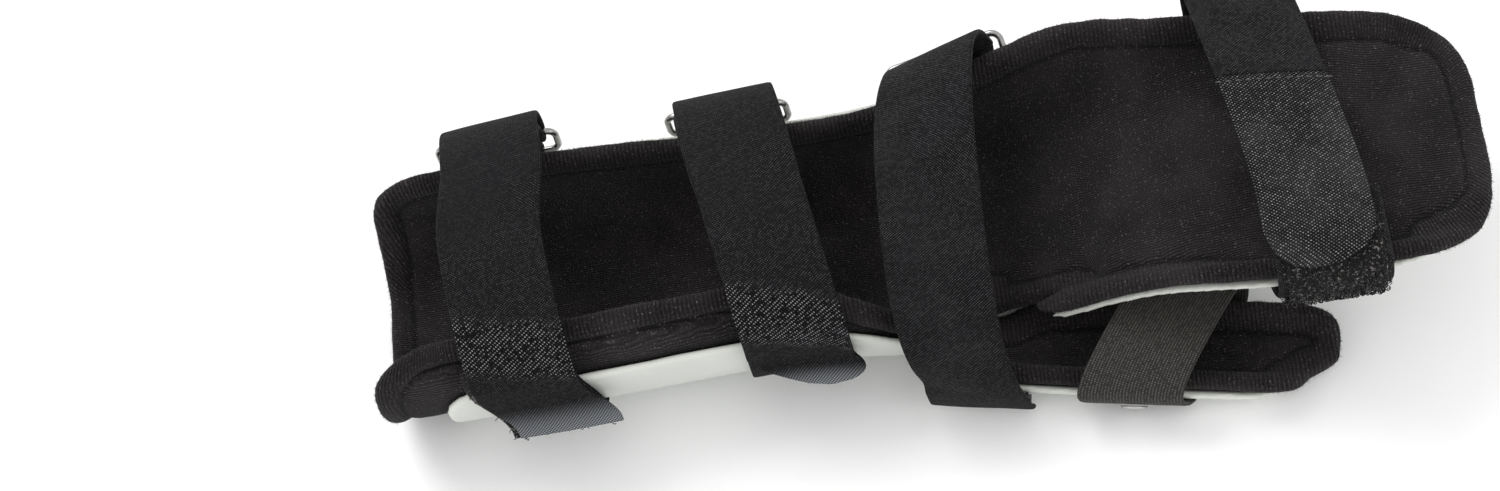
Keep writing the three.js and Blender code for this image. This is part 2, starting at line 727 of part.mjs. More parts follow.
// A strap that runs over the arm, through its ring and back over itself to a free end
function doubledStrap(ring, plan) {
  const around = RING_WIRE / 2 + CLEARANCE + STRAP_THICKNESS / 2 + RING_SLACK;
  const inward = ring.outward.clone().negate();
  const foot = strapFoot(ring.line);
  const steps = stepsFor(main.edge(ring.line.at, -1) - foot);
  const route = (line, shift) => {
    const rim = main.edge(line.at, -1);
    const start = alongSkin(main, line, -foot, -rim, strapSeat, steps);
    const bar = ring.held
      .clone()
      .addScaledVector(ring.across, shift)
      .addScaledVector(ring.out, RING_HEIGHT);
    const loop = aroundBar(bar, around, inward, up.clone().negate(), 0, 180);
    const shoulder = main.onLine(line, -rim, strapSeat - layerStep);
    const away = shoulder.clone().addScaledVector(up, -plan.drop);
    const tail = [];
    for (let degrees = 0; degrees <= plan.turn; degrees += 10) {
      tail.push(
        away
          .clone()
          .addScaledVector(inward, plan.curl * (1 - Math.cos(radians(degrees))))
          .addScaledVector(up, -plan.curl * Math.sin(radians(degrees)))
          .addScaledVector(ring.across, plan.lean * smooth(degrees / plan.turn)),
      );
    }
    const overRing = squarenessOverRing(shift);
    return [
      ...start,
      ...arch(last(start), loop[0], plan.height, { ...archForm, second: overRing }),
      ...loop,
      ...arch(last(loop), shoulder, plan.height + layerStep, { ...archForm, first: overRing }),
      shoulder,
      ...tail,
    ];
  };
  return band(edgesOf(ring.line, STRAP_WIDTH, route), {
    thickness: STRAP_THICKNESS,
    roundEnd: plan.roundEnd,
  });
}

// The wrist strap: from the little-finger wall up through its ring, over the hand and down
// onto the hook patch on the thumb trough's wall
function wristStrap() {
  const ring = rings.wrist;
  const seat = tabOuterSeat - TAB_THICKNESS / 2 - CLEARANCE - STRAP_THICKNESS / 2;
  const foot = tabFoot(lines.wrist);
  const fold = ring.barReach * WRIST_FOLD;
  const landingSteps = stepsFor(rimOf(thumb, lines.thumbSide, -1) * (1 - WRIST_END));
  const edges = [-STRAP_WIDTH / 2, 0, STRAP_WIDTH / 2].map((shift) => {
    const line = beside(lines.wrist, shift);
    const end = beside(lines.thumbSide, shift);
    const slot = ring.held
      .clone()
      .addScaledVector(ring.across, shift)
      .addScaledVector(ring.out, RING_HEIGHT / 2);
    const moved = (out, rise) =>
      slot.clone().addScaledVector(ring.outward, out).addScaledVector(up, rise);
    const rim = rimOf(thumb, end, -1);
    const landing = alongSkin(thumb, end, -rim, -rim * WRIST_END, onPatchSeat, landingSteps);
    const passage = WRIST_PASSAGE.map(({ out, rise }) => moved(out, rise));
    const form = {
      first: squarenessOverRing(shift),
      second: WRIST_SQUARENESS,
      bulge: WRIST_BULGE,
    };
    return [
      ...alongSkin(main, line, foot, fold, seat, stepsFor(fold - foot)),
      ...passage,
      ...arch(last(passage), landing[0], WRIST_ARCH, form),
      ...landing,
    ];
  });
  return band(edges, { thickness: STRAP_THICKNESS });
}

// The finger strap: from under the pan round its little-finger edge and over the fingers; its
// last stretch is a separate grip tab that presses onto the hook patch on the thumb side
function fingerStraps() {
  const plan = { thickness: STRAP_THICKNESS };
  const underSteps = stepsFor(rimOf(main, lines.finger, 1));
  const landingSteps = stepsFor(STRAP_WIDTH / 2);
  const routes = edgesOf(lines.finger, STRAP_WIDTH, (line) => {
    const rim = rimOf(main, line, 1);
    const under = alongSkin(main, line, rim * FINGER_FOOT, rim, baseSeat, underSteps);
    const top = last(under).clone().addScaledVector(up, FINGER_RISE);
    const far = rimOf(main, line, -1);
    const landing = alongSkin(main, line, -far * GRIP_START, -far * GRIP_END, gripSeat, landingSteps);
    const shoulder = landing[0].clone().addScaledVector(up, FINGER_SHOULDER);
    const over = arch(top, shoulder, FINGER_ARCH);
    const seam = over[GRIP_SEAM_STEPS - 1];
    const step = over[GRIP_SEAM_STEPS].clone().sub(seam).setLength(CLEARANCE);
    return {
      strap: [...under, top, ...over.slice(0, GRIP_SEAM_STEPS)],
      grip: [seam.clone().add(step), ...over.slice(GRIP_SEAM_STEPS), shoulder, ...landing],
    };
  });
  return {
    strap: band(
      routes.map((route) => route.strap),
      plan,
    ),
    grip: band(
      routes.map((route) => route.grip),
      { ...plan, roundEnd: STRAP_WIDTH / 2 },
    ),
  };
}

// A strip that lies on a trough's skin between two shares of the arc to the liner's edge
function strip({ form, line, side, from, to, seat }, { width, thickness }) {
  const steps = Math.ceil(stepsFor(rimOf(form, line, side) * (to - from)) * STRIP_FINENESS);
  const route = (edgeLine) => {
    const rim = rimOf(form, edgeLine, side);
    return alongSkin(form, edgeLine, side * rim * from, side * rim * to, seat, steps);
  };
  const edges = edgesOf(line, width, route);
  return band(side < 0 ? edges : edges.reverse(), { thickness });
}

// The thumb strap crosses only the thumb trough, fixed to both of its walls
function thumbStrap() {
  const steps = stepsFor(rimOf(thumb, lines.thumb, 1) * (1 - THUMB_FOOT));
  const route = (line) => {
    const rims = { near: rimOf(thumb, line, 1), far: -rimOf(thumb, line, -1) };
    const near = alongSkin(thumb, line, rims.near * THUMB_FOOT, rims.near, strapSeat, steps);
    const far = alongSkin(thumb, line, rims.far, rims.far * THUMB_FOOT, strapSeat, steps);
    return [...near, ...arch(last(near), far[0], THUMB_ARCH), ...far];
  };
  return band(edgesOf(lines.thumb, THUMB_STRAP_WIDTH, route), { thickness: STRAP_THICKNESS });
}

const finish = {
  shell: { color: 0xdde3dd, roughness: 0.42, metalness: 0 },
  liner: { color: 0x141416, roughness: 0.96, metalness: 0 },
  strap: { color: 0x1b1b1d, roughness: 0.85, metalness: 0 },
  hook: { color: 0x171717, roughness: 0.8, metalness: 0 },
  wire: { color: 0x8a8886, roughness: 0.3, metalness: 1 },
  rivet: { color: 0x9c9c9a, roughness: 0.35, metalness: 1 },
};

const splint = new THREE.Group();
function add(name, geometry, look) {
  const mesh = new THREE.Mesh(geometry, new THREE.MeshStandardMaterial(look));
  mesh.name = name;
  splint.add(mesh);
}

add("shell", geometryOf(makeShell()), finish.shell);
add("liner", geometryOf(makeLiner()), finish.liner);
add("thumb_liner", geometryOf(makeThumbLiner()), finish.liner);
Object.entries(rings).forEach(([name, ring]) => {
  add(`ring_${name}`, ringGeometry(ring), finish.wire);
  add(`ring_tab_${name}`, tabGeometry(ring), finish.strap);
});

const forearmStraps = {
  proximal: { ...TAILS.proximal, height: PROXIMAL_ARCH },
  distal: { ...TAILS.distal, height: DISTAL_ARCH },
};
Object.entries(forearmStraps).forEach(([name, plan]) => {
  add(`forearm_strap_${name}`, doubledStrap(rings[name], plan), finish.strap);
});
add("wrist_strap", wristStrap(), finish.strap);
const finger = fingerStraps();
add("finger_strap", finger.strap, finish.strap);
add("finger_strap_grip", finger.grip, finish.strap);
add("thumb_strap", thumbStrap(), finish.strap);

const base = { form: main, line: lines.finger, side: -1 };
const thumbWall = { form: thumb, line: lines.thumbSide, side: -1 };
const baseStrap = { ...base, from: BASE_FOOT, to: BASE_END, seat: baseSeat };
const basePatch = { ...base, from: PATCH_FOOT, to: BASE_END, seat: onBaseSeat };
const wristPatch = { ...thumbWall, from: WRIST_END, to: PATCH_END, seat: patchSeat };
const cloth = { width: STRAP_WIDTH + 2 * BASE_BORDER, thickness: STRAP_THICKNESS };
const hook = { width: STRAP_WIDTH, thickness: PATCH_THICKNESS };
const narrowHook = { width: STRAP_WIDTH - 2 * PATCH_BORDER, thickness: PATCH_THICKNESS };
add("finger_base_strap", strip(baseStrap, cloth), finish.strap);
add("finger_hook_patch", strip(basePatch, hook), finish.hook);
add("wrist_hook_patch", strip(wristPatch, narrowHook), finish.hook);

// Rivet heads: on each anchored strap end and each tab, at an arc length on the main trough
const strapBack = strapSeat - STRAP_THICKNESS / 2;
const baseBack = baseSeat - STRAP_THICKNESS / 2;
const tabBack = tabOuterSeat - TAB_THICKNESS / 2;
const besideFoot = (foot) => foot + Math.sign(foot) * RIVET_INSET;
const thumbFoot = (side) => side * rimOf(thumb, lines.thumb, side) * THUMB_FOOT;
const mainFoot = (side, share) => side * rimOf(main, lines.finger, side) * share;
const rivets = [
  { name: "proximal_strap", line: lines.proximal, foot: -strapFoot(lines.proximal), seat: strapBack },
  { name: "distal_strap", line: lines.distal, foot: -strapFoot(lines.distal), seat: strapBack },
  { name: "proximal_tab", line: lines.proximal, foot: tabFoot(lines.proximal), seat: tabBack },
  { name: "distal_tab", line: lines.distal, foot: tabFoot(lines.distal), seat: tabBack },
  { name: "wrist_strap", line: lines.wrist, foot: tabFoot(lines.wrist), seat: tabBack - layerStep },
  { name: "finger_strap", line: lines.finger, foot: mainFoot(1, FINGER_FOOT), seat: baseBack },
  { name: "finger_base", line: lines.finger, foot: mainFoot(-1, BASE_FOOT), seat: baseBack },
  { name: "thumb_inner", form: thumb, line: lines.thumb, foot: thumbFoot(1), seat: strapBack },
  { name: "thumb_outer", form: thumb, line: lines.thumb, foot: thumbFoot(-1), seat: strapBack },
];
rivets.forEach(({ name, form = main, line, foot, seat }) => {
  add(`rivet_${name}`, rivetGeometry(form, line, besideFoot(foot), seat), finish.rivet);
});

// The origin lies on the surface that the splint rests on, under the middle of its box
const reach = new THREE.Box3().setFromObject(splint);
const middle = reach.getCenter(new THREE.Vector3());
splint.position.set(-middle.x, -middle.y, -reach.min.z);
splint.updateMatrixWorld(true);

export default splint;
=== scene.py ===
# %% [markdown]
# # A resting hand splint
# The splint is a stiff pale shell with a black knit liner in it, closed by five straps. The solid
# model gives every piece its place and size. This lesson dresses it: the knit swells and gets its
# rim, the straps become woven bands, and the wire, rivets and hook tape get their small parts.
#
# %% Load the solid model
import math

import bmesh
import bpy
import numpy
from mathutils import Matrix, Vector, kdtree, noise


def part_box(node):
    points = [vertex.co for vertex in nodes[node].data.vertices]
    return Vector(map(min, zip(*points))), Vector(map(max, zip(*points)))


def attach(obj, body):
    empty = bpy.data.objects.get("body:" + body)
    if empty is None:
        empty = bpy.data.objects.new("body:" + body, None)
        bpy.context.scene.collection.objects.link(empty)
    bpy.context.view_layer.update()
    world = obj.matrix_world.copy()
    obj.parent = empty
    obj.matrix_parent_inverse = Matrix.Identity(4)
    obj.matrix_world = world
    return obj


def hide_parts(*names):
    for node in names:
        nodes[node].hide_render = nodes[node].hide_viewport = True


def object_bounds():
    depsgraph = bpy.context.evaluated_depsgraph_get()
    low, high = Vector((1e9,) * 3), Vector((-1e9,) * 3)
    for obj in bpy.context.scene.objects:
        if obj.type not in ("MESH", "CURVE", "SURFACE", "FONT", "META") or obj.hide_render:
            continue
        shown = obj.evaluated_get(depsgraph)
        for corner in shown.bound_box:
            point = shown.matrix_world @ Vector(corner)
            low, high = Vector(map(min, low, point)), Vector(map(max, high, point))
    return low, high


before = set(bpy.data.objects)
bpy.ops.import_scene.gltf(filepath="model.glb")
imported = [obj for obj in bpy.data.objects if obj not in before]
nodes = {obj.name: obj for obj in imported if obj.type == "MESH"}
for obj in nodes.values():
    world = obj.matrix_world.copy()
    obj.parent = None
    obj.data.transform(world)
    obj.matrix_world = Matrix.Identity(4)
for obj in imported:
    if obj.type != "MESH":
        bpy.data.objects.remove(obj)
solid_box = [list(corner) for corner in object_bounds()]
scene = bpy.context.scene
print("pieces in the solid model:", len(nodes))

# %% [markdown]
# ## The camera
# The photo looks down on the splint from the thumb side, turned a little towards the elbow end
# and rolled, so that the forearm falls away to the lower left. The seven values below were worked
# out from places that show in the photo. A long lens keeps the straps nearly parallel.
#
# %% Set the camera
AZIMUTH = math.radians(9.74)
ELEVATION = math.radians(60.12)
ROLL = math.radians(17.8)
DISTANCE = 1.2707
SIDEWAYS = -0.0627
UPWARDS = 0.0123
LENS = 88.3

back = Vector((
    math.sin(AZIMUTH) * math.cos(ELEVATION),
    -math.cos(AZIMUTH) * math.cos(ELEVATION),
    math.sin(ELEVATION),
))
level = Vector((math.cos(AZIMUTH), math.sin(AZIMUTH), 0))
right = level * math.cos(ROLL) - back.cross(level) * math.sin(ROLL)
up = back.cross(right)
eye = back * DISTANCE + right * SIDEWAYS + up * UPWARDS

lens = bpy.data.cameras.new("camera")
lens.lens = LENS
lens.clip_end = 20
camera = bpy.data.objects.new("camera", lens)
camera.matrix_world = Matrix((right, up, back)).transposed().to_4x4()
camera.matrix_world.translation = eye
scene.collection.objects.link(camera)
scene.camera = camera
print("camera at", [round(value, 3) for value in eye])

# %% [markdown]
# ## Light and floor
# Product photos like this one are lit so softly that the ground turns white. A bright pale world
# does most of that. One large lamp from the upper left gives the webbing its sheen, and a weak
# one from the fingertips keeps the far side of each strap readable.
#
# %% Light the scene
WORLD_LIGHT = 1.0
FLOOR_SIZE = 6.0


def soft_lamp(name, place, size, power):
    """A square lamp that looks at the splint."""
    light = bpy.data.lights.new(name, "AREA")
    light.size = size
    light.energy = power
    lamp = bpy.data.objects.new(name, light)
    lamp.location = place
    lamp.rotation_euler = (-Vector(place)).to_track_quat("-Z", "Y").to_euler()
    scene.collection.objects.link(lamp)


world = bpy.data.worlds.new("studio")
world.use_nodes = True
world.node_tree.nodes["Background"].inputs["Color"].default_value = (1, 1, 1, 1)
world.node_tree.nodes["Background"].inputs["Strength"].default_value = WORLD_LIGHT
scene.world = world
scene.view_settings.view_transform = "Standard"
soft_lamp("key", (-0.7, 0.9, 1.5), 1.0, 16)
soft_lamp("fill", (1.2, -0.6, 1.0), 1.2, 5)

# %% [markdown]
# ## Node trees as sums
# A woven surface is easiest to think of as a formula: so many ribs a metre, this much lighter
# where a thread comes up. So a socket is wrapped in a small class on which `+`, `*` and the rest
# add the Math nodes, and every other node comes from one method, `add`.
#
# %% Wrap the sockets


class Socket:
    """One output of a node; sums on it add the nodes that work them out."""

    def __init__(self, tree, output):
        self.tree = tree
        self.output = output

    def __add__(self, other):
        return self.tree.calculate("ADD", self, other)

    def __sub__(self, other):
        return self.tree.calculate("SUBTRACT", self, other)

    def __rsub__(self, other):
        return self.tree.calculate("SUBTRACT", other, self)

    def __mul__(self, other):
        return self.tree.calculate("MULTIPLY", self, other)

    def __pow__(self, other):
        return self.tree.calculate("POWER", self, other)

    __radd__ = __add__
    __rmul__ = __mul__

    def wave(self, period):
        """Runs from 0 to 1 and back once in each period."""
        return self.tree.calculate("COSINE", self * (2 * math.pi / period)) * 0.5 + 0.5

    def between(self, low, high):
        """Rises smoothly from 0 at low to 1 at high."""
        values = {"Value": self, "From Min": low, "From Max": high}
        return self.tree.add("ShaderNodeMapRange", {"interpolation_type": "SMOOTHSTEP"}, values)


class Tree:
    """A node tree whose nodes are added with their settings and values."""

    def __init__(self, tree):
        self.tree = tree

    def add(self, kind, settings=None, values=None, output=0):
        node = self.tree.nodes.new(kind)
        for key, value in (settings or {}).items():
            setattr(node, key, value)
        for key, value in (values or {}).items():
            self.feed(node.inputs[key], value)
        return Socket(self, node.outputs[output])

    def feed(self, socket, value):
        if isinstance(value, Socket):
            self.tree.links.new(value.output, socket)
        else:
            socket.default_value = value

    def calculate(self, operation, *values):
        return self.add("ShaderNodeMath", {"operation": operation}, dict(enumerate(values)))

    def vector(self, x, y, z):
        return self.add("ShaderNodeCombineXYZ", values={0: x, 1: y, 2: z})


class Finish(Tree):
    """A material with one Principled shader; constants are set on the shader itself."""

    def __init__(self, name, constants):
        self.material = bpy.data.materials.new(name)
        self.material.use_nodes = True
        super().__init__(self.material.node_tree)
        self.shader = self.tree.nodes["Principled BSDF"]
        for key, value in constants.items():
            self.shader.inputs[key].default_value = value

    def paint(self, key, value):
        self.feed(self.shader.inputs[key], value)

    def place(self):
        return self.add("ShaderNodeTexCoord", output="Object")

    def cloth(self):
        """Along and across the cloth, in millimetres, from the piece's own map."""
        spot = self.add("ShaderNodeUVMap", {"uv_map": "cloth"})
        along = self.add("ShaderNodeSeparateXYZ", values={0: spot}, output="X")
        across = self.add("ShaderNodeSeparateXYZ", values={0: spot}, output="Y")
        return along * 1000, across * 1000

    def mottle(self, per_metre, detail=2.0):
        values = {"Vector": self.place(), "Scale": per_metre, "Detail": detail}
        return self.add("ShaderNodeTexNoise", values=values)

    def shade(self, factor, dark, light):
        """A colour between two greys or tints."""
        values = {0: factor, 6: (*dark, 1), 7: (*light, 1)}
        return self.add("ShaderNodeMix", {"data_type": "RGBA"}, values, output=2)

    def emboss(self, height, depth):
        """Turns a height from 0 to 1 into relief of some depth in metres."""
        values = {"Height": height, "Distance": depth, "Strength": 1.0}
        self.paint("Normal", self.add("ShaderNodeBump", values=values))


def smooth_faces(mesh):
    mesh.shade_smooth()
    return mesh


def piece(name, mesh, finish, slot, *replaced):
    """A finished piece that rides on the splint and stands for solids of the model."""
    made = bpy.data.objects.new(name, mesh)
    scene.collection.objects.link(made)
    mesh.materials.clear()
    mesh.materials.append(finish.material)
    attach(made, "root")
    if replaced:
        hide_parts(*replaced)
    print(f"{name}: {sum(len(face.vertices) - 2 for face in mesh.polygons)} triangles")
    return made


# %% [markdown]
# ## Trees that grow small parts
# Stitches, hooks, hairs and rings repeat, so Geometry Nodes make them. Each tree is built here
# with named sizes, run once on a carrier mesh, and the result kept as a plain mesh. The tree ends
# in Realize Instances and Set Material, because nothing after this keeps instances.
#
# %% Build and run a growing tree
FULL_TURN = 6.283


class Pattern(Tree):
    """A Geometry Nodes tree with one geometry input and named sizes."""

    def __init__(self, name, sizes):
        super().__init__(bpy.data.node_groups.new(name, "GeometryNodeTree"))
        self.sizes = sizes
        interface = self.tree.interface
        interface.new_socket("Carrier", in_out="INPUT", socket_type="NodeSocketGeometry")
        for size in sizes:
            interface.new_socket(size, in_out="INPUT", socket_type="NodeSocketFloat")
        interface.new_socket("Grown", in_out="OUTPUT", socket_type="NodeSocketGeometry")
        self.entry = self.tree.nodes.new("NodeGroupInput")
        self.exit = self.tree.nodes.new("NodeGroupOutput")

    def size(self, name):
        return Socket(self, self.entry.outputs[name])

    def carrier(self):
        return Socket(self, self.entry.outputs["Carrier"])

    def attribute(self, name, kind="FLOAT"):
        return self.add("GeometryNodeInputNamedAttribute", {"data_type": kind}, {"Name": name})

    def between_random(self, low, high, seed):
        values = {2: low, 3: high, "Seed": seed}
        return self.add("FunctionNodeRandomValue", {"data_type": "FLOAT"}, values, output=1)

    def leaning(self, upright, lean):
        """Turns each spot by a lean and a spin of its own."""
        turn = self.vector(
            self.between_random(-lean, lean, 1),
            self.between_random(-lean, lean, 2),
            self.between_random(0.0, FULL_TURN, 3),
        )
        settings = {"rotation_space": "LOCAL"}
        return self.add("FunctionNodeRotateRotation", settings, {0: upright, 1: turn})

    def close(self, grown, finish):
        real = self.add("GeometryNodeRealizeInstances", values={0: grown})
        set_values = {"Geometry": real, "Material": finish.material}
        done = self.add("GeometryNodeSetMaterial", values=set_values)
        self.tree.links.new(done.output, self.exit.inputs["Grown"])

    def grow(self, mesh):
        """Runs the tree on a carrier mesh and gives back the plain mesh that it makes."""
        carrier = bpy.data.objects.new("carrier", mesh)
        scene.collection.objects.link(carrier)
        modifier = carrier.modifiers.new("grow", "NODES")
        modifier.node_group = self.tree
        for item in self.tree.interface.items_tree:
            if item.name in self.sizes:
                modifier[item.identifier] = self.sizes[item.name]
        return finished_mesh(carrier)


def finished_mesh(carrier):
    """The plain mesh that an object's modifiers make; the object itself goes."""
    graph = bpy.context.evaluated_depsgraph_get()
    made = carrier.evaluated_get(graph)
    mesh = bpy.data.meshes.new_from_object(made, preserve_all_data_layers=True, depsgraph=graph)
    bpy.data.objects.remove(carrier)
    return mesh


# %% [markdown]
# ## Reading a solid
# A solid comes in as loose triangles. Joined at their corners they show how the piece is built:
# a strap is a row of rings with six corners each, so walking from its first end gives the left,
# middle and right of the band all the way along.
#
# %% Read the rows of a band
WELD = 1e-5
SHARP = math.radians(50)
END_FACES = 4
END_CORNERS = 6


def welded(node):
    """A copy of a solid whose triangles share their corners."""
    form = bmesh.new()
    form.from_mesh(nodes[node].data)
    bmesh.ops.remove_doubles(form, verts=form.verts, dist=WELD)
    return form


def middle_of(points):
    return sum((Vector(point) for point in points), Vector()) / len(points)


def middle_of_node(node):
    return middle_of(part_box(node))


def flat_groups(form):
    """Groups of faces that meet at less than a sharp angle."""
    seen = set()
    groups = []
    for face in form.faces:
        if face in seen:
            continue
        group = [face]
        seen.add(face)
        for member in group:
            for edge in member.edges:
                if edge.calc_face_angle(math.pi) > SHARP:
                    continue
                fresh = [other for other in edge.link_faces if other not in seen]
                seen.update(fresh)
                group.extend(fresh)
        groups.append(group)
    return groups


def band_rows(node, near):
    """Left, middle and right of a band, row by row from the end near a point."""
    form = welded(node)
    ends = [
        {corner for face in group for corner in face.verts}
        for group in flat_groups(form)
        if len(group) == END_FACES
    ]
    ends = [end for end in ends if len(end) == END_CORNERS]
    ring = min(ends, key=lambda end: (middle_of([v.co for v in end]) - near).length)
    spots = [corner.co for corner in ring]
    across = max((a - b for a in spots for b in spots), key=lambda way: way.length + way.x)
    rows = []
    seen = set(ring)
    while ring:
        order = sorted((corner.co for corner in ring), key=across.dot)
        rows.append([(a + b) / 2 for a, b in zip(order[::2], order[1::2])])
        across = rows[-1][-1] - rows[-1][0]
        ring = {edge.other_vert(v) for v in ring for edge in v.link_edges} - seen
        seen |= ring
    form.free()
    return rows


# %% [markdown]
# ## Webbing bands
# A strap is a thin band that bends one way. It could be a curve with a bevel, but then its width
# would twist freely. Here the three lines of the solid are rounded into smooth curves, joined
# across, and given the cloth's thickness with a soft edge. A map in metres runs along and across
# it, counted from the free end, so that the weave follows each bend.
#
# %% Make a band
STEP = 0.0016
COLUMNS = 14
EDGE_STOPS = (0.0, 0.012, 0.04)
EDGE_LIFTS = (0.35, 0.85, 1.0)
RIPPLE = 0.00012
RIPPLE_SCALE = 70


def smooth_line(places, counts, lengths):
    """A line on a smooth curve through places, with so many steps on each stretch."""
    tangents = []
    for i, place in enumerate(places):
        before = (place - places[i - 1]) / lengths[i - 1] if i else None
        after = (places[i + 1] - place) / lengths[i] if i < len(lengths) else None
        if before is None or after is None:
            tangents.append(before or after)
            continue
        share = lengths[i - 1] / (lengths[i - 1] + lengths[i])
        tangents.append(before * (1 - share) + after * share)
    line = [places[0].copy()]
    for i, count in enumerate(counts):
        a, b, length = places[i], places[i + 1], lengths[i]
        for k in range(1, count + 1):
            t = k / count
            line.append(
                a * (1 - 3 * t * t + 2 * t**3)
                + b * (3 * t * t - 2 * t**3)
                + tangents[i] * length * (t - 2 * t * t + t**3)
                + tangents[i + 1] * length * (t**3 - t * t)
            )
    return line


def band_lines(rows):
    lengths = [max((b[1] - a[1]).length, WELD) for a, b in zip(rows, rows[1:])]
    counts = [max(1, round(length / STEP)) for length in lengths]
    return [smooth_line([row[k] for row in rows], counts, lengths) for k in range(3)]


def shares_across():
    inner = [(k + 1) / COLUMNS for k in range(COLUMNS - 1)]
    low = list(EDGE_STOPS)
    high = [1 - share for share in reversed(EDGE_STOPS)]
    return low + [share for share in inner if low[-1] < share < high[0]] + high


def lift_at(share):
    edge = min(share, 1 - share)
    for stop, lift in zip(EDGE_STOPS, EDGE_LIFTS):
        if edge <= stop + 1e-9:
            return lift
    return 1.0


def unrounded(rows, width):
    """Rows of a band with a rounded end, opened again to the full width."""
    opened = []
    for left, middle, end in rows:
        half = (end - left).length / 2
        scale = width / 2 / half if half < width / 2 else 1
        opened.append([middle + (left - middle) * scale, middle, middle + (end - middle) * scale])
    return opened


def band_mesh(name, rows, thickness, round_end=0.0, seed=0):
    """A closed band with a soft edge; the layer outer is 1 on the side that along x across faces."""
    if round_end:
        rows = unrounded(rows, (rows[0][2] - rows[0][0]).length)
    left, centre, right_line = band_lines(rows)
    left_over = [0.0]
    for a, b in zip(reversed(centre[1:]), reversed(centre[:-1])):
        left_over.append(left_over[-1] + (a - b).length)
    left_over.reverse()
    width = (rows[0][2] - rows[0][0]).length
    stops = shares_across()
    form = bmesh.new()
    cloth = form.loops.layers.uv.new("cloth")
    outer = form.verts.layers.float.new("outer")
    table = []
    for i, mid in enumerate(centre):
        before, after = max(i - 1, 0), min(i + 1, len(centre) - 1)
        along = centre[after] - centre[before]
        across = right_line[i] - left[i]
        facing = along.cross(across).normalized()
        keep = 1.0
        if round_end and left_over[i] < round_end:
            keep = math.sqrt(max(1 - (1 - left_over[i] / round_end) ** 2, 0.004))
        ring = []
        for sign in (1, -1):
            for share in stops if sign > 0 else reversed(stops):
                place = (
                    left[i] * (1 - share) * (1 - 2 * share)
                    + mid * 4 * share * (1 - share)
                    + right_line[i] * share * (2 * share - 1)
                )
                place = mid + (place - mid) * keep
                spot = (left_over[i], (share - 0.5) * width * keep)
                ripple = noise.noise(Vector((spot[0] * RIPPLE_SCALE, spot[1] * RIPPLE_SCALE, seed)))
                lift = sign * lift_at(share) * thickness / 2 + RIPPLE * ripple
                corner = form.verts.new(place + facing * lift)
                corner[outer] = 1.0 if sign > 0 else 0.0
                ring.append((corner, spot))
        table.append(ring)
    round_count = len(table[0])
    half = round_count // 2

    def quad(*corners):
        face = form.faces.new([corner for corner, _ in corners])
        for loop, (_, spot) in zip(face.loops, corners):
            loop[cloth].uv = spot

    for here, there in zip(table, table[1:]):
        for k in range(round_count):
            m = (k + 1) % round_count
            quad(here[k], there[k], there[m], here[m])
    for ring in (table[0], table[-1]):
        for k in range(half - 1):
            quad(ring[k], ring[k + 1], ring[round_count - 2 - k], ring[round_count - 1 - k])
    bmesh.ops.recalc_face_normals(form, faces=form.faces)
    mesh = bpy.data.meshes.new(name)
    form.to_mesh(mesh)
    form.free()
    return smooth_faces(mesh)


# %% [markdown]
# ## The webbing's weave
# Close up, the straps are a fine stagger of thread tops, about a millimetre apart, that catch the
# light here and there. A product of two waves gives that stagger. It drives a low relief and
# painted highlights on a few thread tops, while sheen lifts the cloth where it turns away.
#
# %% Weave the webbing
INK = (0.0040, 0.0040, 0.0045)
# The paler colour, the one after INK, is the colour of the painted highlights on thread tops.
THREAD_GLINT = (0.110, 0.111, 0.116)
PITCH = (0.88, 1.12)


def stagger(along, across, rows, columns):
    """Tops in staggered rows: 1 on a top, 0 between."""
    tops = along.wave(rows) * across.wave(columns)
    return tops + (along + rows / 2).wave(rows) * (across + columns / 2).wave(columns)


def webbing(name, pitch, glint, depth, ink=INK, thread=THREAD_GLINT):
    """Black webbing: thread tops in rows and columns pitch apart, glint of them with painted highlights.
    """
    constants = {"Sheen Weight": 0.01, "Sheen Roughness": 0.45, "Specular IOR Level": 0.08}
    finish = Finish(name, constants)
    along, across = finish.cloth()
    wander = finish.mottle(400) * 0.2
    weave = stagger(along + wander, across + wander, *pitch)
    lit = finish.mottle(900, 1.0).between(0.45 - glint, 0.80 - glint) * 0.8 + 0.2
    # The paler thread tops are painted highlights: glints of light painted into the colour.
    painted_glint = weave.between(0.58, 1.0) * lit
    worn = finish.mottle(60, 3.0).between(0.35, 0.75)
    finish.paint("Base Color", finish.shade(painted_glint + worn * 0.05, ink, thread))
    finish.paint("Roughness", 0.85 - painted_glint * 0.35)
    finish.emboss(weave, depth)
    return finish, weave, painted_glint


plain_webbing, _, _ = webbing("webbing", PITCH, 0.10, 0.0003)
print("weave rows and columns", PITCH, "mm")

# %% [markdown]
# The two forearm straps have more on them. A few centimetres before the free end, a band of
# coarse dots is pressed into the weave, with painted highlights on the dots' tops. Over the last
# centimetre or so the cloth is painted a paler bluish grey, a painted sheen where the end turns up
# to the light, and it is glossier. Both are set out by the distance from the free end, in millimetres.
#
# %% Weave the forearm straps
DOT_PITCH = (1.35, 1.45)


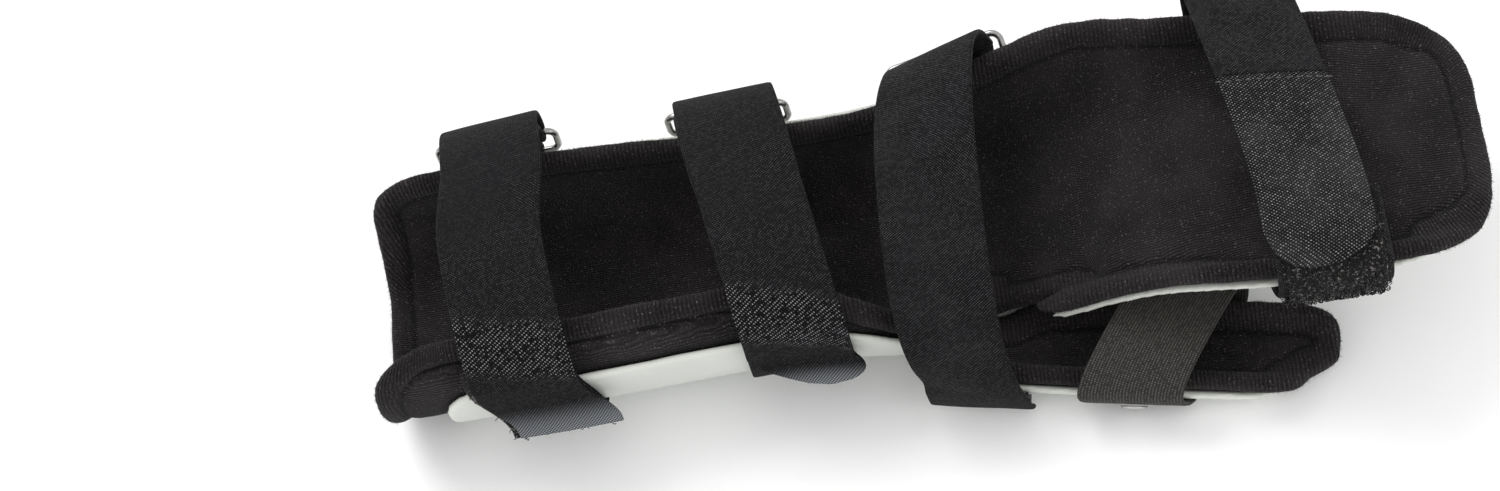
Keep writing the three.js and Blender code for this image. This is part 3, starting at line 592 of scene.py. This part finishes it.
def tail_webbing(name, dots_from, dots_to, painted_sheen_until):
    finish, weave, painted_glint = webbing(name, PITCH, 0.08, 0.0003)
    along, across = finish.cloth()
    slanted = along + across * 0.25
    uneven = slanted + finish.mottle(160, 2.0) * 8
    band = uneven.between(dots_from, dots_from + 5) * (1 - uneven.between(dots_to, dots_to + 6))
    dots = stagger(slanted, across, *DOT_PITCH)
    # The pressed dots' tops are painted lighter: painted highlights.
    bright = dots.between(0.6, 0.95) * band * finish.mottle(800, 1.0).between(0.35, 0.6)
    # The paler bluish grey towards the free end is a painted sheen, where the end turns up to the light.
    painted_sheen = (1 - along.between(0, painted_sheen_until)) ** 1.6
    shade = painted_glint * (1 - band) * 0.35 + bright
    black = finish.shade(shade, INK, (0.28, 0.28, 0.29))
    painted_sheen_colour = finish.shade(weave.between(0.3, 0.9), (0.040, 0.043, 0.048), (0.34, 0.355, 0.38))
    colour = finish.add("ShaderNodeMix", {"data_type": "RGBA"}, {0: painted_sheen, 6: black, 7: painted_sheen_colour}, output=2)
    finish.paint("Base Color", colour)
    finish.paint("Roughness", 0.84 - bright * 0.3 - painted_sheen * 0.3)
    finish.emboss(weave * 0.7 + dots * band * 1.3, 0.0003)
    return finish


proximal_webbing = tail_webbing("webbing_proximal", dots_from=34, dots_to=52, painted_sheen_until=17)
distal_webbing = tail_webbing("webbing_distal", dots_from=26, dots_to=46, painted_sheen_until=12)

# %% [markdown]
# ## The straps
# Each strap starts at its rivet. The forearm straps run up over the arm, round the far bar of a
# wire ring and back over themselves. The wrist strap passes its ring once. Only the end of the
# second forearm strap and the grip tab are cut round.
#
# %% Dress the straps
STRAP = 0.0019
TAB = 0.0014
straps = [
    ("forearm_strap_proximal", "rivet_proximal_strap", STRAP, 0.0, proximal_webbing),
    ("forearm_strap_distal", "rivet_distal_strap", STRAP, 0.014, distal_webbing),
    ("wrist_strap", "rivet_wrist_strap", STRAP, 0.0, plain_webbing),
    ("finger_strap", "rivet_finger_strap", STRAP, 0.0, plain_webbing),
    ("finger_base_strap", "rivet_finger_base", STRAP, 0.0, plain_webbing),
    ("ring_tab_proximal", "rivet_proximal_tab", TAB, 0.0, plain_webbing),
    ("ring_tab_distal", "rivet_distal_tab", TAB, 0.0, plain_webbing),
    ("ring_tab_wrist", "rivet_wrist_strap", TAB, 0.0, plain_webbing),
]
rows_of = {name: band_rows(name, middle_of_node(start)) for name, start, *_ in straps}
rows_of["finger_strap_grip"] = band_rows("finger_strap_grip", middle_of_node("finger_strap"))
rows_of["finger_hook_patch"] = band_rows("finger_hook_patch", middle_of_node("rivet_finger_base"))
rows_of["thumb_strap"] = band_rows("thumb_strap", middle_of_node("rivet_thumb_inner"))
print({name: len(rows) for name, rows in rows_of.items()})

# %% [markdown]
# Cloth doesn't lie as straight as its solid. The first strap sags towards the elbow end between
# its ring and its free end. The grip tab swings back a little from its seam and ends on top of
# the rim, while the base strap and its hook tape come up from under the pan and run on below it.
#
# %% Let the straps lie as cloth does
SAG = 0.0055
SWING = 0.009
GRIP_ROWS = 8
BASE_WIDTH = 0.89
BASE_SHIFT = Vector((-0.0022, 0, 0))
BASE_DROP, BASE_INSET = 0.0049, 0.0022
TAPE_DROP, TAPE_INSET = 0.0030, 0.0008


def eased(value):
    value = min(max(value, 0), 1)
    return value * value * (3 - 2 * value)


def moved(rows, move):
    return [[corner + move(corner) for corner in row] for row in rows]


def narrowed(rows):
    """The rows of the base strap or its tape, narrower and a little towards the elbow end."""
    return [[row[1] + (corner - row[1]) * BASE_WIDTH + BASE_SHIFT for corner in row] for row in rows]


def run_on(rows, guide, drop, inset):
    """Carries a band on below the guide's rows, keeping its own places across."""
    more = [
        [Vector((own.x, other.y + inset, other.z - drop)) for own, other in zip(rows[-1], row)]
        for row in guide
    ]
    return rows + more


rows_of["forearm_strap_proximal"] = moved(
    rows_of["forearm_strap_proximal"],
    lambda p: Vector((-SAG * eased((0.038 - p.y) / 0.04) * eased((p.z - 0.030) / 0.024), 0, 0)),
)
grip_rows = rows_of["finger_strap_grip"][:GRIP_ROWS]
guide = grip_rows[:2:-1]
rows_of["finger_strap_grip"] = [
    [corner - Vector((SWING * (k / (GRIP_ROWS - 1)) ** 2, 0, 0)) for corner in row]
    for k, row in enumerate(grip_rows)
]
base_rows = narrowed(rows_of["finger_base_strap"])
tape_rows = narrowed(rows_of["finger_hook_patch"])
rows_of["finger_base_strap"] = run_on(base_rows, guide, BASE_DROP, BASE_INSET)
rows_of["finger_hook_patch"] = run_on(tape_rows, guide[:-1], TAPE_DROP, TAPE_INSET)

for seed, (name, start, thickness, round_end, finish) in enumerate(straps):
    mesh = band_mesh(name, rows_of[name], thickness, round_end, seed)
    piece(f"{name}_cloth", mesh, finish, "strap", name)

# %% [markdown]
# ## The thumb strap and the grip tab
# The thumb strap is a ribbed elastic, paler and finer than the webbing. The grip tab is the
# coarsest cloth on the splint: open loops whose tops glitter in a stagger, over a millimetre
# apart, the glitter painted into the colour as painted highlights. Its end is a half circle, and
# it is sewn on with one row of stitches.
#
# %% Ribbed elastic and loop cloth


def ribbed(name):
    finish = Finish(name, {"Sheen Weight": 0.03, "Sheen Roughness": 0.5, "Specular IOR Level": 0.2})
    along, across = finish.cloth()
    wander = finish.mottle(500) * 0.3
    ribs = (across + wander).wave(1.05)
    threads = (along + across * 0.25 + wander).wave(0.75)
    weave = ribs * 0.6 + threads * 0.4
    # The paler rib tops are painted highlights, patchy as the light catches them.
    painted_glint = weave.between(0.5, 0.95) * finish.mottle(1100, 1.0).between(0.3, 0.6)
    finish.paint("Base Color", finish.shade(painted_glint + 0.1, (0.012, 0.011, 0.010), (0.105, 0.100, 0.092)))
    finish.paint("Roughness", 0.85 - painted_glint * 0.2)
    finish.emboss(weave, 0.0003)
    return finish


thumb_webbing = ribbed("thumb_elastic")
grip_ink = (0.0045, 0.0045, 0.0050)
# The grip's pale colour is painted highlights on its loop tops.
grip_glint = (0.40, 0.40, 0.405)
grip_cloth, _, _ = webbing("grip_loops", (1.15, 1.60), 0.05, 0.0007, grip_ink, grip_glint)

thumb_mesh = band_mesh("thumb_strap", rows_of["thumb_strap"], STRAP, seed=11)
piece("thumb_strap_cloth", thumb_mesh, thumb_webbing, "strap", "thumb_strap")

GRIP_ROUND = 0.0175
grip_mesh = band_mesh("finger_strap_grip", rows_of["finger_strap_grip"], STRAP, GRIP_ROUND, seed=12)
piece("finger_strap_grip_cloth", grip_mesh, grip_cloth, "strap", "finger_strap_grip")

# %% Stitch the grip tab's seam
thread_finish = Finish("thread", {"Roughness": 0.6})
thread_tone = thread_finish.mottle(3000).between(0.3, 0.7)
thread_colour = thread_finish.shade(thread_tone, (0.02, 0.02, 0.022), (0.09, 0.09, 0.095))
thread_finish.paint("Base Color", thread_colour)

STITCH = {"Length": 0.0022, "Thickness": 0.00028, "Gap": 0.0031}


def stitches():
    """Short threads laid along a line, a fixed gap apart."""
    pattern = Pattern("stitches", STITCH)
    line = pattern.add("GeometryNodeMeshToCurve", values={"Mesh": pattern.carrier()})
    spots = pattern.add(
        "GeometryNodeCurveToPoints",
        {"mode": "LENGTH"},
        {"Curve": line, "Length": pattern.size("Gap")},
        output="Points",
    )
    lie = pattern.add("GeometryNodeInputNamedAttribute", {"data_type": "FLOAT_VECTOR"}, {"Name": "lie"})
    turn = pattern.add("FunctionNodeAlignRotationToVector", {"axis": "X"}, {"Vector": lie})
    thread = pattern.add("GeometryNodeMeshUVSphere", values={"Segments": 8, "Rings": 6, "Radius": 1.0})
    thickness = pattern.size("Thickness")
    size = pattern.vector(pattern.size("Length") * 0.5, thickness, thickness)
    grown = pattern.add(
        "GeometryNodeInstanceOnPoints",
        values={"Points": spots, "Instance": thread, "Rotation": turn, "Scale": size},
    )
    pattern.close(grown, thread_finish)
    return pattern


def seam_line(rows, row, lift, inset):
    """A line of corners across a band, just above its face."""
    left, middle, end = rows[row]
    along = rows[row + 1][1] - middle
    facing = along.cross(end - left).normalized()
    outward = facing if facing.z > 0 else -facing
    mesh = bpy.data.meshes.new("seam")
    count = 12
    places = []
    for k in range(count + 1):
        share = k / count
        place = left.lerp(end, share) + (middle - (left + end) / 2) * 4 * share * (1 - share)
        places.append(place + outward * lift + along.normalized() * inset)
    mesh.from_pydata(places, [(k, k + 1) for k in range(count)], [])
    lie = mesh.attributes.new("lie", "FLOAT_VECTOR", "POINT")
    for item in lie.data:
        item.vector = (end - left).normalized()
    return mesh


seam = seam_line(rows_of["finger_strap_grip"], 0, STRAP / 2, 0.0022)
piece("grip_stitches", stitches().grow(seam), thread_finish, "strap")

# %% [markdown]
# ## Hook tape
# The patch under the grip tab is hook tape: a stiff woven ground with rows of tiny bent hooks.
# They are real geometry, because they give the patch its fuzzy outline. The same tape is welded
# under the free end of the first forearm strap, where only its edge shows.
#
# %% Make the hooks
HOOKS = {"Density": 1.1e6, "Spread": 0.00088, "Height": 0.0015}
HOOK_LEAN = 0.3
hook_finish = Finish("hook_tape", {"Specular IOR Level": 0.2})
# The scattered lighter spots on the hook tape are painted glints on the hooks; they are glossier too.
hook_glint = hook_finish.mottle(1000, 1.0).between(0.58, 0.72)
hook_finish.paint("Base Color", hook_finish.shade(hook_glint, (0.0035, 0.003, 0.003), (0.16, 0.15, 0.145)))
hook_finish.paint("Roughness", 0.62 - hook_glint * 0.25)
hook_finish.emboss(hook_finish.mottle(1600, 2.0), 0.0003)


def hooks(finish):
    """Small bent wires that stand on the side of the carrier where outer is 1."""
    pattern = Pattern("hooks", HOOKS)
    scattered = pattern.add(
        "GeometryNodeDistributePointsOnFaces",
        {"distribute_method": "POISSON"},
        {
            "Mesh": pattern.carrier(),
            "Distance Min": pattern.size("Spread"),
            "Density Max": pattern.size("Density"),
            "Density Factor": pattern.attribute("outer"),
            "Seed": 4,
        },
    )
    upright = Socket(pattern, scattered.output.node.outputs["Rotation"])
    turn = pattern.leaning(upright, HOOK_LEAN)
    arc = pattern.add(
        "GeometryNodeCurveArc",
        values={"Resolution": 6, "Radius": 0.45, "Start Angle": -0.6, "Sweep Angle": 3.6},
    )
    standing = pattern.add(
        "GeometryNodeTransform",
        values={"Geometry": arc, "Translation": (-0.35, 0, 0.35), "Rotation": (math.pi / 2, 0, 0)},
    )
    section = pattern.add("GeometryNodeCurvePrimitiveCircle", values={"Resolution": 3, "Radius": 0.11})
    hook = pattern.add(
        "GeometryNodeCurveToMesh",
        values={"Curve": standing, "Profile Curve": section, "Fill Caps": True},
    )
    grown = pattern.add(
        "GeometryNodeInstanceOnPoints",
        values={
            "Points": scattered,
            "Instance": hook,
            "Rotation": turn,
            "Scale": pattern.size("Height") * pattern.between_random(0.75, 1.1, 5),
        },
    )
    pattern.close(grown, finish)
    return pattern


def tape_mesh(name, rows, thickness, seed):
    """A band whose layer outer is 1 on the other side, where the hooks go."""
    mesh = band_mesh(name, rows, thickness, seed=seed)
    for item in mesh.attributes["outer"].data:
        item.value = 1 - item.value
    return mesh


TAPE = 0.0016
hook_pattern = hooks(hook_finish)
patch_mesh = tape_mesh("finger_hook_patch", rows_of["finger_hook_patch"], TAPE, seed=21)
piece("finger_hook_ground", patch_mesh, hook_finish, "hook", "finger_hook_patch")
piece("finger_hook_pile", hook_pattern.grow(patch_mesh.copy()), hook_finish, "hook")

# %% Weld hook tape under the first strap's free end
TAIL_ROWS = 10
TAIL_TAPE = 0.0014
TAIL_DEPTH = 0.0017
TAIL_SHIFT = Vector((0.0022, 0, 0))
tail_rows = rows_of["forearm_strap_proximal"][-TAIL_ROWS:]
under_rows = []
for k, row in enumerate(tail_rows):
    before, after = tail_rows[max(k - 1, 0)], tail_rows[min(k + 1, TAIL_ROWS - 1)]
    facing = (after[1] - before[1]).cross(row[2] - row[0]).normalized()
    under_rows.append([corner - facing * TAIL_DEPTH - TAIL_SHIFT for corner in row])
under_mesh = tape_mesh("tail_hook_tape", under_rows, TAIL_TAPE, seed=22)
piece("tail_hook_ground", under_mesh, hook_finish, "hook")
piece("tail_hook_pile", hook_pattern.grow(under_mesh.copy()), hook_finish, "hook")

# %% [markdown]
# ## The knit liner
# The liner is foam in a plush knit cover. Its solid gives the form, and a voxel remesh makes an
# even skin of it that can be pushed about: a plump band along the rim, a groove where the rim is
# sewn, and slow uneven swellings. A cloth simulation would pull the overhanging flaps out of the
# shape that the shell gives them, so the forms are sculpted by rule instead.
#
# %% Shape the liner
RIM_SHARP = math.radians(33)
RIM_BAND = 0.0075
RIM_SPACING = 0.0012
FORM_STEPS = 2


def remeshed(form, voxel, relax):
    """An even skin round a solid, with the flat facets rounded first."""
    bmesh.ops.join_triangles(
        form,
        faces=form.faces,
        angle_face_threshold=math.radians(40),
        angle_shape_threshold=math.radians(60),
    )
    rough = bpy.data.meshes.new("rough")
    form.to_mesh(rough)
    carrier = bpy.data.objects.new("carrier", rough)
    scene.collection.objects.link(carrier)
    rounded = carrier.modifiers.new("round", "SUBSURF")
    rounded.levels = FORM_STEPS
    rounded.render_levels = FORM_STEPS
    even = carrier.modifiers.new("even", "REMESH")
    even.mode = "VOXEL"
    even.voxel_size = voxel
    calm = carrier.modifiers.new("calm", "SMOOTH")
    calm.factor = 0.5
    calm.iterations = relax
    return finished_mesh(carrier)


def rim_tree(form):
    """A search tree of places along the sharp rim of a solid."""
    places = []
    for edge in form.edges:
        if len(edge.link_faces) == 2 and edge.calc_face_angle(0) > RIM_SHARP:
            a, b = (corner.co for corner in edge.verts)
            count = max(1, round((b - a).length / RIM_SPACING))
            places.extend(a.lerp(b, k / count) for k in range(count))
    tree = kdtree.KDTree(len(places))
    for k, place in enumerate(places):
        tree.insert(place, k)
    tree.balance()
    return tree


def bump_at(distance, centre, width):
    return math.exp(-(((distance - centre) / width) ** 2))


def knit_mesh(name, voxel, along_of, across_of):
    """A swollen skin of a liner with its rim layer and its map along and across the ribs."""
    form = welded(name)
    rim = rim_tree(form)
    mesh = remeshed(form, voxel, 6)
    form.free()
    mesh.name = name
    normals = [Vector(item.vector) for item in mesh.vertex_normals]
    rim_layer = mesh.attributes.new("rim", "FLOAT", "POINT")
    cloth = mesh.uv_layers.new(name="cloth")
    for k, corner in enumerate(mesh.vertices):
        distance = rim.find(corner.co)[2]
        swell = 0.00055 * bump_at(distance, 0.0032, 0.0030) - 0.0008 * bump_at(distance, RIM_BAND, 0.0013)
        swell += 0.0005 * noise.noise(corner.co * 55) + 0.00025 * noise.noise(corner.co * 190)
        rim_layer.data[k].value = distance
        corner.co += normals[k] * swell
    spots = [(along_of(v.co), across_of(v.co)) for v in mesh.vertices]
    for loop in mesh.loops:
        cloth.data[loop.index].uv = spots[loop.vertex_index]
    return smooth_faces(mesh)


def around(place):
    """A length that runs along the sides and on round both ends of the liner."""
    low, high = solid_box[0][0] + 0.03, solid_box[1][0] - 0.035
    if place.x > high:
        return high + 0.05 * math.atan2(place.x - high, abs(place.y - 0.002) + 1e-4)
    if place.x < low:
        return low - 0.05 * math.atan2(low - place.x, abs(place.y) + 1e-4)
    return place.x


BOTTOM_CELL = 0.006


def across_trough(node, middle_y):
    """A length that runs down one wall of a trough, over its bottom and up the other wall."""
    bottoms = {}
    for corner in nodes[node].data.vertices:
        if abs(corner.co.y - middle_y) < 0.018:
            cell = round(corner.co.x / BOTTOM_CELL)
            bottoms[cell] = min(corner.co.z, bottoms.get(cell, 1))
    cells = sorted(bottoms)

    def length(place):
        at = place.x / BOTTOM_CELL
        low = max((cell for cell in cells if cell <= at), default=cells[0])
        high = min((cell for cell in cells if cell >= at), default=cells[-1])
        share = (at - low) / (high - low) if high > low else 0
        bottom = bottoms[low] * (1 - share) + bottoms[high] * share
        return place.y + math.tanh((place.y - middle_y) / 0.02) * (place.z - bottom)

    return length


LINER_VOXEL = 0.00135
THUMB_VOXEL = 0.0010
across_liner = across_trough("liner", middle_y=0.0)
across_thumb = across_trough("thumb_liner", middle_y=-0.05)
liner_mesh = knit_mesh("liner", LINER_VOXEL, around, across_liner)
thumb_liner_mesh = knit_mesh("thumb_liner", THUMB_VOXEL, lambda place: place.x, across_thumb)
print("corners in the two skins:", len(liner_mesh.vertices), len(thumb_liner_mesh.vertices))

# %% [markdown]
# The knit's ribs run along the limb, a millimetre apart. In the rim band they turn square to the
# edge. The plush takes light only at grazing angles, which is what sheen is for.
#
# %% Knit the cover


def plush(name):
    constants = {
        "Roughness": 0.95,
        "Sheen Weight": 0.05,
        "Sheen Roughness": 0.55,
        "Specular IOR Level": 0.08,
    }
    finish = Finish(name, constants)
    along, across = finish.cloth()
    distance = finish.add("ShaderNodeAttribute", {"attribute_name": "rim"}, output="Fac") * 1000
    wander = finish.mottle(260, 2.0) * 1.2
    on_rim = 1 - distance.between(6.2, 7.4)
    ribs = (across + wander).wave(1.0) * (0.5 + 0.5 * (along + wander).wave(1.1))
    rim_ribs = (along + wander).wave(1.45) * (0.6 + 0.4 * (distance + wander).wave(1.5))
    from_groove = finish.calculate("ABSOLUTE", (distance - 7.5) * 0.7)
    groove = 1 - from_groove.between(0.0, 1.0)
    fuzz = finish.mottle(1500, 3.0)
    knit = ribs * (1 - on_rim) + rim_ribs * on_rim
    height = knit * 0.7 + fuzz * 0.9 - groove * 0.5
    patchy = finish.mottle(45, 4.0).between(0.35, 0.7)
    lint = fuzz.between(0.58, 0.72)
    # The sewn groove is also painted a little darker: painted shade in the groove.
    shade = knit * lint * 1.1 + knit * 0.12 + patchy * 0.1 + lint * 0.15 - groove * 0.1
    finish.paint("Base Color", finish.shade(shade, (0.0050, 0.0042, 0.0044), (0.115, 0.100, 0.102)))
    finish.emboss(height, 0.0006)
    return finish


knit_finish = plush("plush_knit")
liner_piece = piece("liner_knit", liner_mesh, knit_finish, "liner", "liner")
thumb_piece = piece("thumb_liner_knit", thumb_liner_mesh, knit_finish, "liner", "thumb_liner")

# %% [markdown]
# Short loose fibres stand out of the rim and break its outline. They are thin three-sided
# spikes, scattered where the rim layer is small and leaning at random.
#
# %% Grow the fuzz
FUZZ = {"Density": 1.1e6, "Length": 0.0011, "Width": 0.00007}
FUZZ_REACH = 0.0030
FUZZ_LEAN = 1.1


def fuzz_pattern(finish):
    pattern = Pattern("fuzz", FUZZ)
    distance = pattern.attribute("rim")
    near = 1 - distance.between(FUZZ_REACH * 0.5, FUZZ_REACH)
    scattered = pattern.add(
        "GeometryNodeDistributePointsOnFaces",
        {"distribute_method": "RANDOM"},
        {"Mesh": pattern.carrier(), "Density": pattern.size("Density") * near, "Seed": 7},
    )
    upright = Socket(pattern, scattered.output.node.outputs["Rotation"])
    turn = pattern.leaning(upright, FUZZ_LEAN)
    spike = pattern.add(
        "GeometryNodeMeshCone",
        values={"Vertices": 3, "Radius Bottom": 1.0, "Depth": 1.0, "Side Segments": 1},
    )
    length = pattern.size("Length") * pattern.between_random(0.5, 1.3, 5)
    size = pattern.vector(pattern.size("Width"), pattern.size("Width"), length)
    grown = pattern.add(
        "GeometryNodeInstanceOnPoints",
        values={"Points": scattered, "Instance": spike, "Rotation": turn, "Scale": size},
    )
    pattern.close(grown, finish)
    return pattern


fibre = Finish("fibre", {"Roughness": 0.9, "Sheen Weight": 0.1})
fibre_tone = fibre.mottle(900).between(0.4, 0.7)
fibre.paint("Base Color", fibre.shade(fibre_tone, (0.006, 0.005, 0.005), (0.040, 0.035, 0.035)))
fuzz_tree = fuzz_pattern(fibre)
piece("liner_fuzz", fuzz_tree.grow(liner_mesh.copy()), fibre, "liner")
piece("thumb_liner_fuzz", fuzz_tree.grow(thumb_liner_mesh.copy()), fibre, "liner")

# %% [markdown]
# ## The shell
# The shell is moulded in one piece, so its form flows from the forearm into the palm and the
# thumb spoon. The solid's facets are rounded and remeshed finely enough to keep the thin wall.
# Its plastic is a greenish grey-white with a soft gloss, a little uneven from the moulding. Along
# its rim it is painted lighter, a painted highlight on the rim's edge, and it is rougher there.
#
# %% Mould the shell


def moulded(name):
    constants = {"IOR": 1.47, "Coat Roughness": 0.25, "Subsurface Weight": 0.0}
    finish = Finish(name, constants)
    cloudy = finish.mottle(22, 4.0).between(0.3, 0.7)
    fine = finish.mottle(700, 3.0)
    scuffs = finish.mottle(140, 6.0).between(0.60, 0.72)
    distance = finish.add("ShaderNodeAttribute", {"attribute_name": "rim"}, output="Fac") * 1000
    # A band along the rim: painted lighter as a painted highlight on the rim's edge, and made rougher.
    painted_rim_highlight = 1 - distance.between(0.8, 2.2)
    body = finish.shade(cloudy, (0.54, 0.56, 0.52), (0.60, 0.62, 0.58))
    mixed = {0: painted_rim_highlight * 0.5, 6: body, 7: (0.66, 0.67, 0.61, 1)}
    finish.paint("Base Color", finish.add("ShaderNodeMix", {"data_type": "RGBA"}, mixed, output=2))
    finish.paint("Roughness", 0.30 + fine * 0.10 + scuffs * 0.12 + painted_rim_highlight * 0.1)
    finish.paint("Coat Weight", 0.25 - scuffs * 0.15)
    finish.emboss(fine * 0.6 + cloudy * 0.4, 0.00012)
    return finish


shell_form = welded("shell")
shell_rim = rim_tree(shell_form)
shell_mesh = remeshed(shell_form, 0.0012, 4)
shell_form.free()
shell_layer = shell_mesh.attributes.new("rim", "FLOAT", "POINT")
for k, corner in enumerate(shell_mesh.vertices):
    shell_layer.data[k].value = shell_rim.find(corner.co)[2]
shell_mesh.name = "shell"
piece("shell_moulding", smooth_faces(shell_mesh), moulded("shell_plastic"), "shell", "shell")

# %% [markdown]
# ## Wire rings
# Each ring is a length of steel wire bent to a rectangle with round corners. Its place and its
# three directions come from its solid, and a curve tree bends the wire.
#
# %% Bend the rings
WIRE = {"Wire radius": 0.0012, "Corner": 0.0034}


def steel(name, dark, light, roughness):
    finish = Finish(name, {"Metallic": 1.0})
    streak = finish.mottle(500, 4.0)
    dull = finish.mottle(90, 3.0).between(0.4, 0.7)
    finish.paint("Base Color", finish.shade(streak * 0.6 + dull * 0.3, dark, light))
    finish.paint("Roughness", roughness + dull * 0.15 + streak * 0.05)
    finish.emboss(streak, 0.00003)
    return finish


def directions(points):
    """Middle and three directions of a cloud of points, the longest first."""
    cloud = numpy.array([list(point) for point in points])
    spread = numpy.linalg.svd(cloud - cloud.mean(0), full_matrices=False)[2]
    reach = [numpy.ptp(cloud @ way) for way in spread]
    middle = sum(way * (cloud @ way).max() / 2 + way * (cloud @ way).min() / 2 for way in spread)
    return Vector(middle), [Vector(way) for way in spread], [float(size) for size in reach]


def bent_wire(length, height, finish):
    sizes = {**WIRE, "Length": length, "Height": height}
    pattern = Pattern("bent_wire", sizes)
    outline = pattern.add(
        "GeometryNodeCurvePrimitiveQuadrilateral",
        values={
            "Width": pattern.size("Length") - pattern.size("Wire radius") * 2,
            "Height": pattern.size("Height") - pattern.size("Wire radius") * 2,
        },
    )
    bent = pattern.add(
        "GeometryNodeFilletCurve",
        {"mode": "POLY"},
        {"Curve": outline, "Count": 8, "Radius": pattern.size("Corner")},
    )
    section = pattern.add(
        "GeometryNodeCurvePrimitiveCircle",
        values={"Resolution": 14, "Radius": pattern.size("Wire radius")},
    )
    pattern.close(
        pattern.add("GeometryNodeCurveToMesh", values={"Curve": bent, "Profile Curve": section}), finish
    )
    return pattern


wire_finish = steel("ring_wire", (0.16, 0.155, 0.15), (0.62, 0.61, 0.60), 0.18)
for name in ("ring_proximal", "ring_distal", "ring_wrist"):
    middle, ways, reach = directions([v.co for v in nodes[name].data.vertices])
    mesh = bent_wire(reach[0], reach[1], wire_finish).grow(bpy.data.meshes.new("empty"))
    turn = Matrix((ways[0], ways[1], ways[0].cross(ways[1]))).transposed().to_4x4()
    mesh.transform(Matrix.Translation(middle) @ turn)
    piece(f"{name}_wire", smooth_faces(mesh), wire_finish, "wire", name)

# %% [markdown]
# ## Rivets
# Nine rivet heads hold the anchored strap ends and the tabs. One low dome is turned once and set
# on nine corners that carry the direction each head faces.
#
# %% Set the rivets
HEAD = {"Head radius": 0.0045, "Head height": 0.0016}
DOME_SHAPE = 0.8


def rivet_heads(finish):
    pattern = Pattern("rivets", HEAD)
    facing = pattern.attribute("facing", "FLOAT_VECTOR")
    turn = pattern.add("FunctionNodeAlignRotationToVector", {"axis": "Z"}, {"Vector": facing})
    ball = pattern.add("GeometryNodeMeshUVSphere", values={"Segments": 24, "Rings": 16, "Radius": 1.0})
    place = pattern.add("GeometryNodeInputPosition")
    height = pattern.add("ShaderNodeSeparateXYZ", values={0: place}, output="Z")
    flat = pattern.calculate("MAXIMUM", height, 0.0)
    x = pattern.add("ShaderNodeSeparateXYZ", values={0: place}, output="X")
    y = pattern.add("ShaderNodeSeparateXYZ", values={0: place}, output="Y")
    pressed = pattern.vector(x, y, flat ** DOME_SHAPE)
    dome = pattern.add("GeometryNodeSetPosition", values={"Geometry": ball, "Position": pressed})
    radius = pattern.size("Head radius")
    size = pattern.vector(radius, radius, pattern.size("Head height"))
    grown = pattern.add(
        "GeometryNodeInstanceOnPoints",
        values={"Points": pattern.carrier(), "Instance": dome, "Rotation": turn, "Scale": size},
    )
    pattern.close(grown, finish)
    return pattern


rivets = sorted(name for name in nodes if name.startswith("rivet_"))
spots = []
ways_out = []
for name in rivets:
    points = [v.co for v in nodes[name].data.vertices]
    middle, ways, _ = directions(points)
    out = ways[2]
    reaches = [(point - middle).dot(out) for point in points]
    wide = max(points, key=lambda p: ((p - middle) - out * (p - middle).dot(out)).length)
    if (wide - middle).dot(out) > 0:
        out = -out
    spots.append(middle - out * (max(reaches) - min(reaches)) / 2)
    ways_out.append(out)
rivet_spots = bpy.data.meshes.new("rivet_spots")
rivet_spots.from_pydata(spots, [], [])
facing_layer = rivet_spots.attributes.new("facing", "FLOAT_VECTOR", "POINT")
for item, way in zip(facing_layer.data, ways_out):
    item.vector = way
rivet_finish = steel("rivet_head", (0.35, 0.35, 0.34), (0.72, 0.71, 0.70), 0.28)
rivet_mesh = rivet_heads(rivet_finish).grow(rivet_spots)
piece("rivet_heads", smooth_faces(rivet_mesh), rivet_finish, "rivet", *rivets)

# %% [markdown]
# ## What stays as it is
# The patch under the wrist strap's end is covered all over, so its solid stays and only gets the
# hook tape's finish.
#
# %% Finish the covered patch and the floor
covered = nodes["wrist_hook_patch"]
covered.data.materials.clear()
covered.data.materials.append(hook_finish.material)

floor_finish = Finish("floor", {"Roughness": 0.9})
floor_tone = floor_finish.mottle(3, 2.0)
floor_finish.paint("Base Color", floor_finish.shade(floor_tone, (0.93, 0.93, 0.93), (0.96, 0.96, 0.96)))
floor_mesh = bpy.data.meshes.new("floor")
half_floor = FLOOR_SIZE / 2
floor_corners = [(x, y, 0) for x, y in ((-1, -1), (1, -1), (1, 1), (-1, 1))]
floor_mesh.from_pydata([Vector(corner) * half_floor for corner in floor_corners], [], [(0, 1, 2, 3)])
floor_mesh.materials.append(floor_finish.material)
floor = bpy.data.objects.new("floor", floor_mesh)
scene.collection.objects.link(floor)
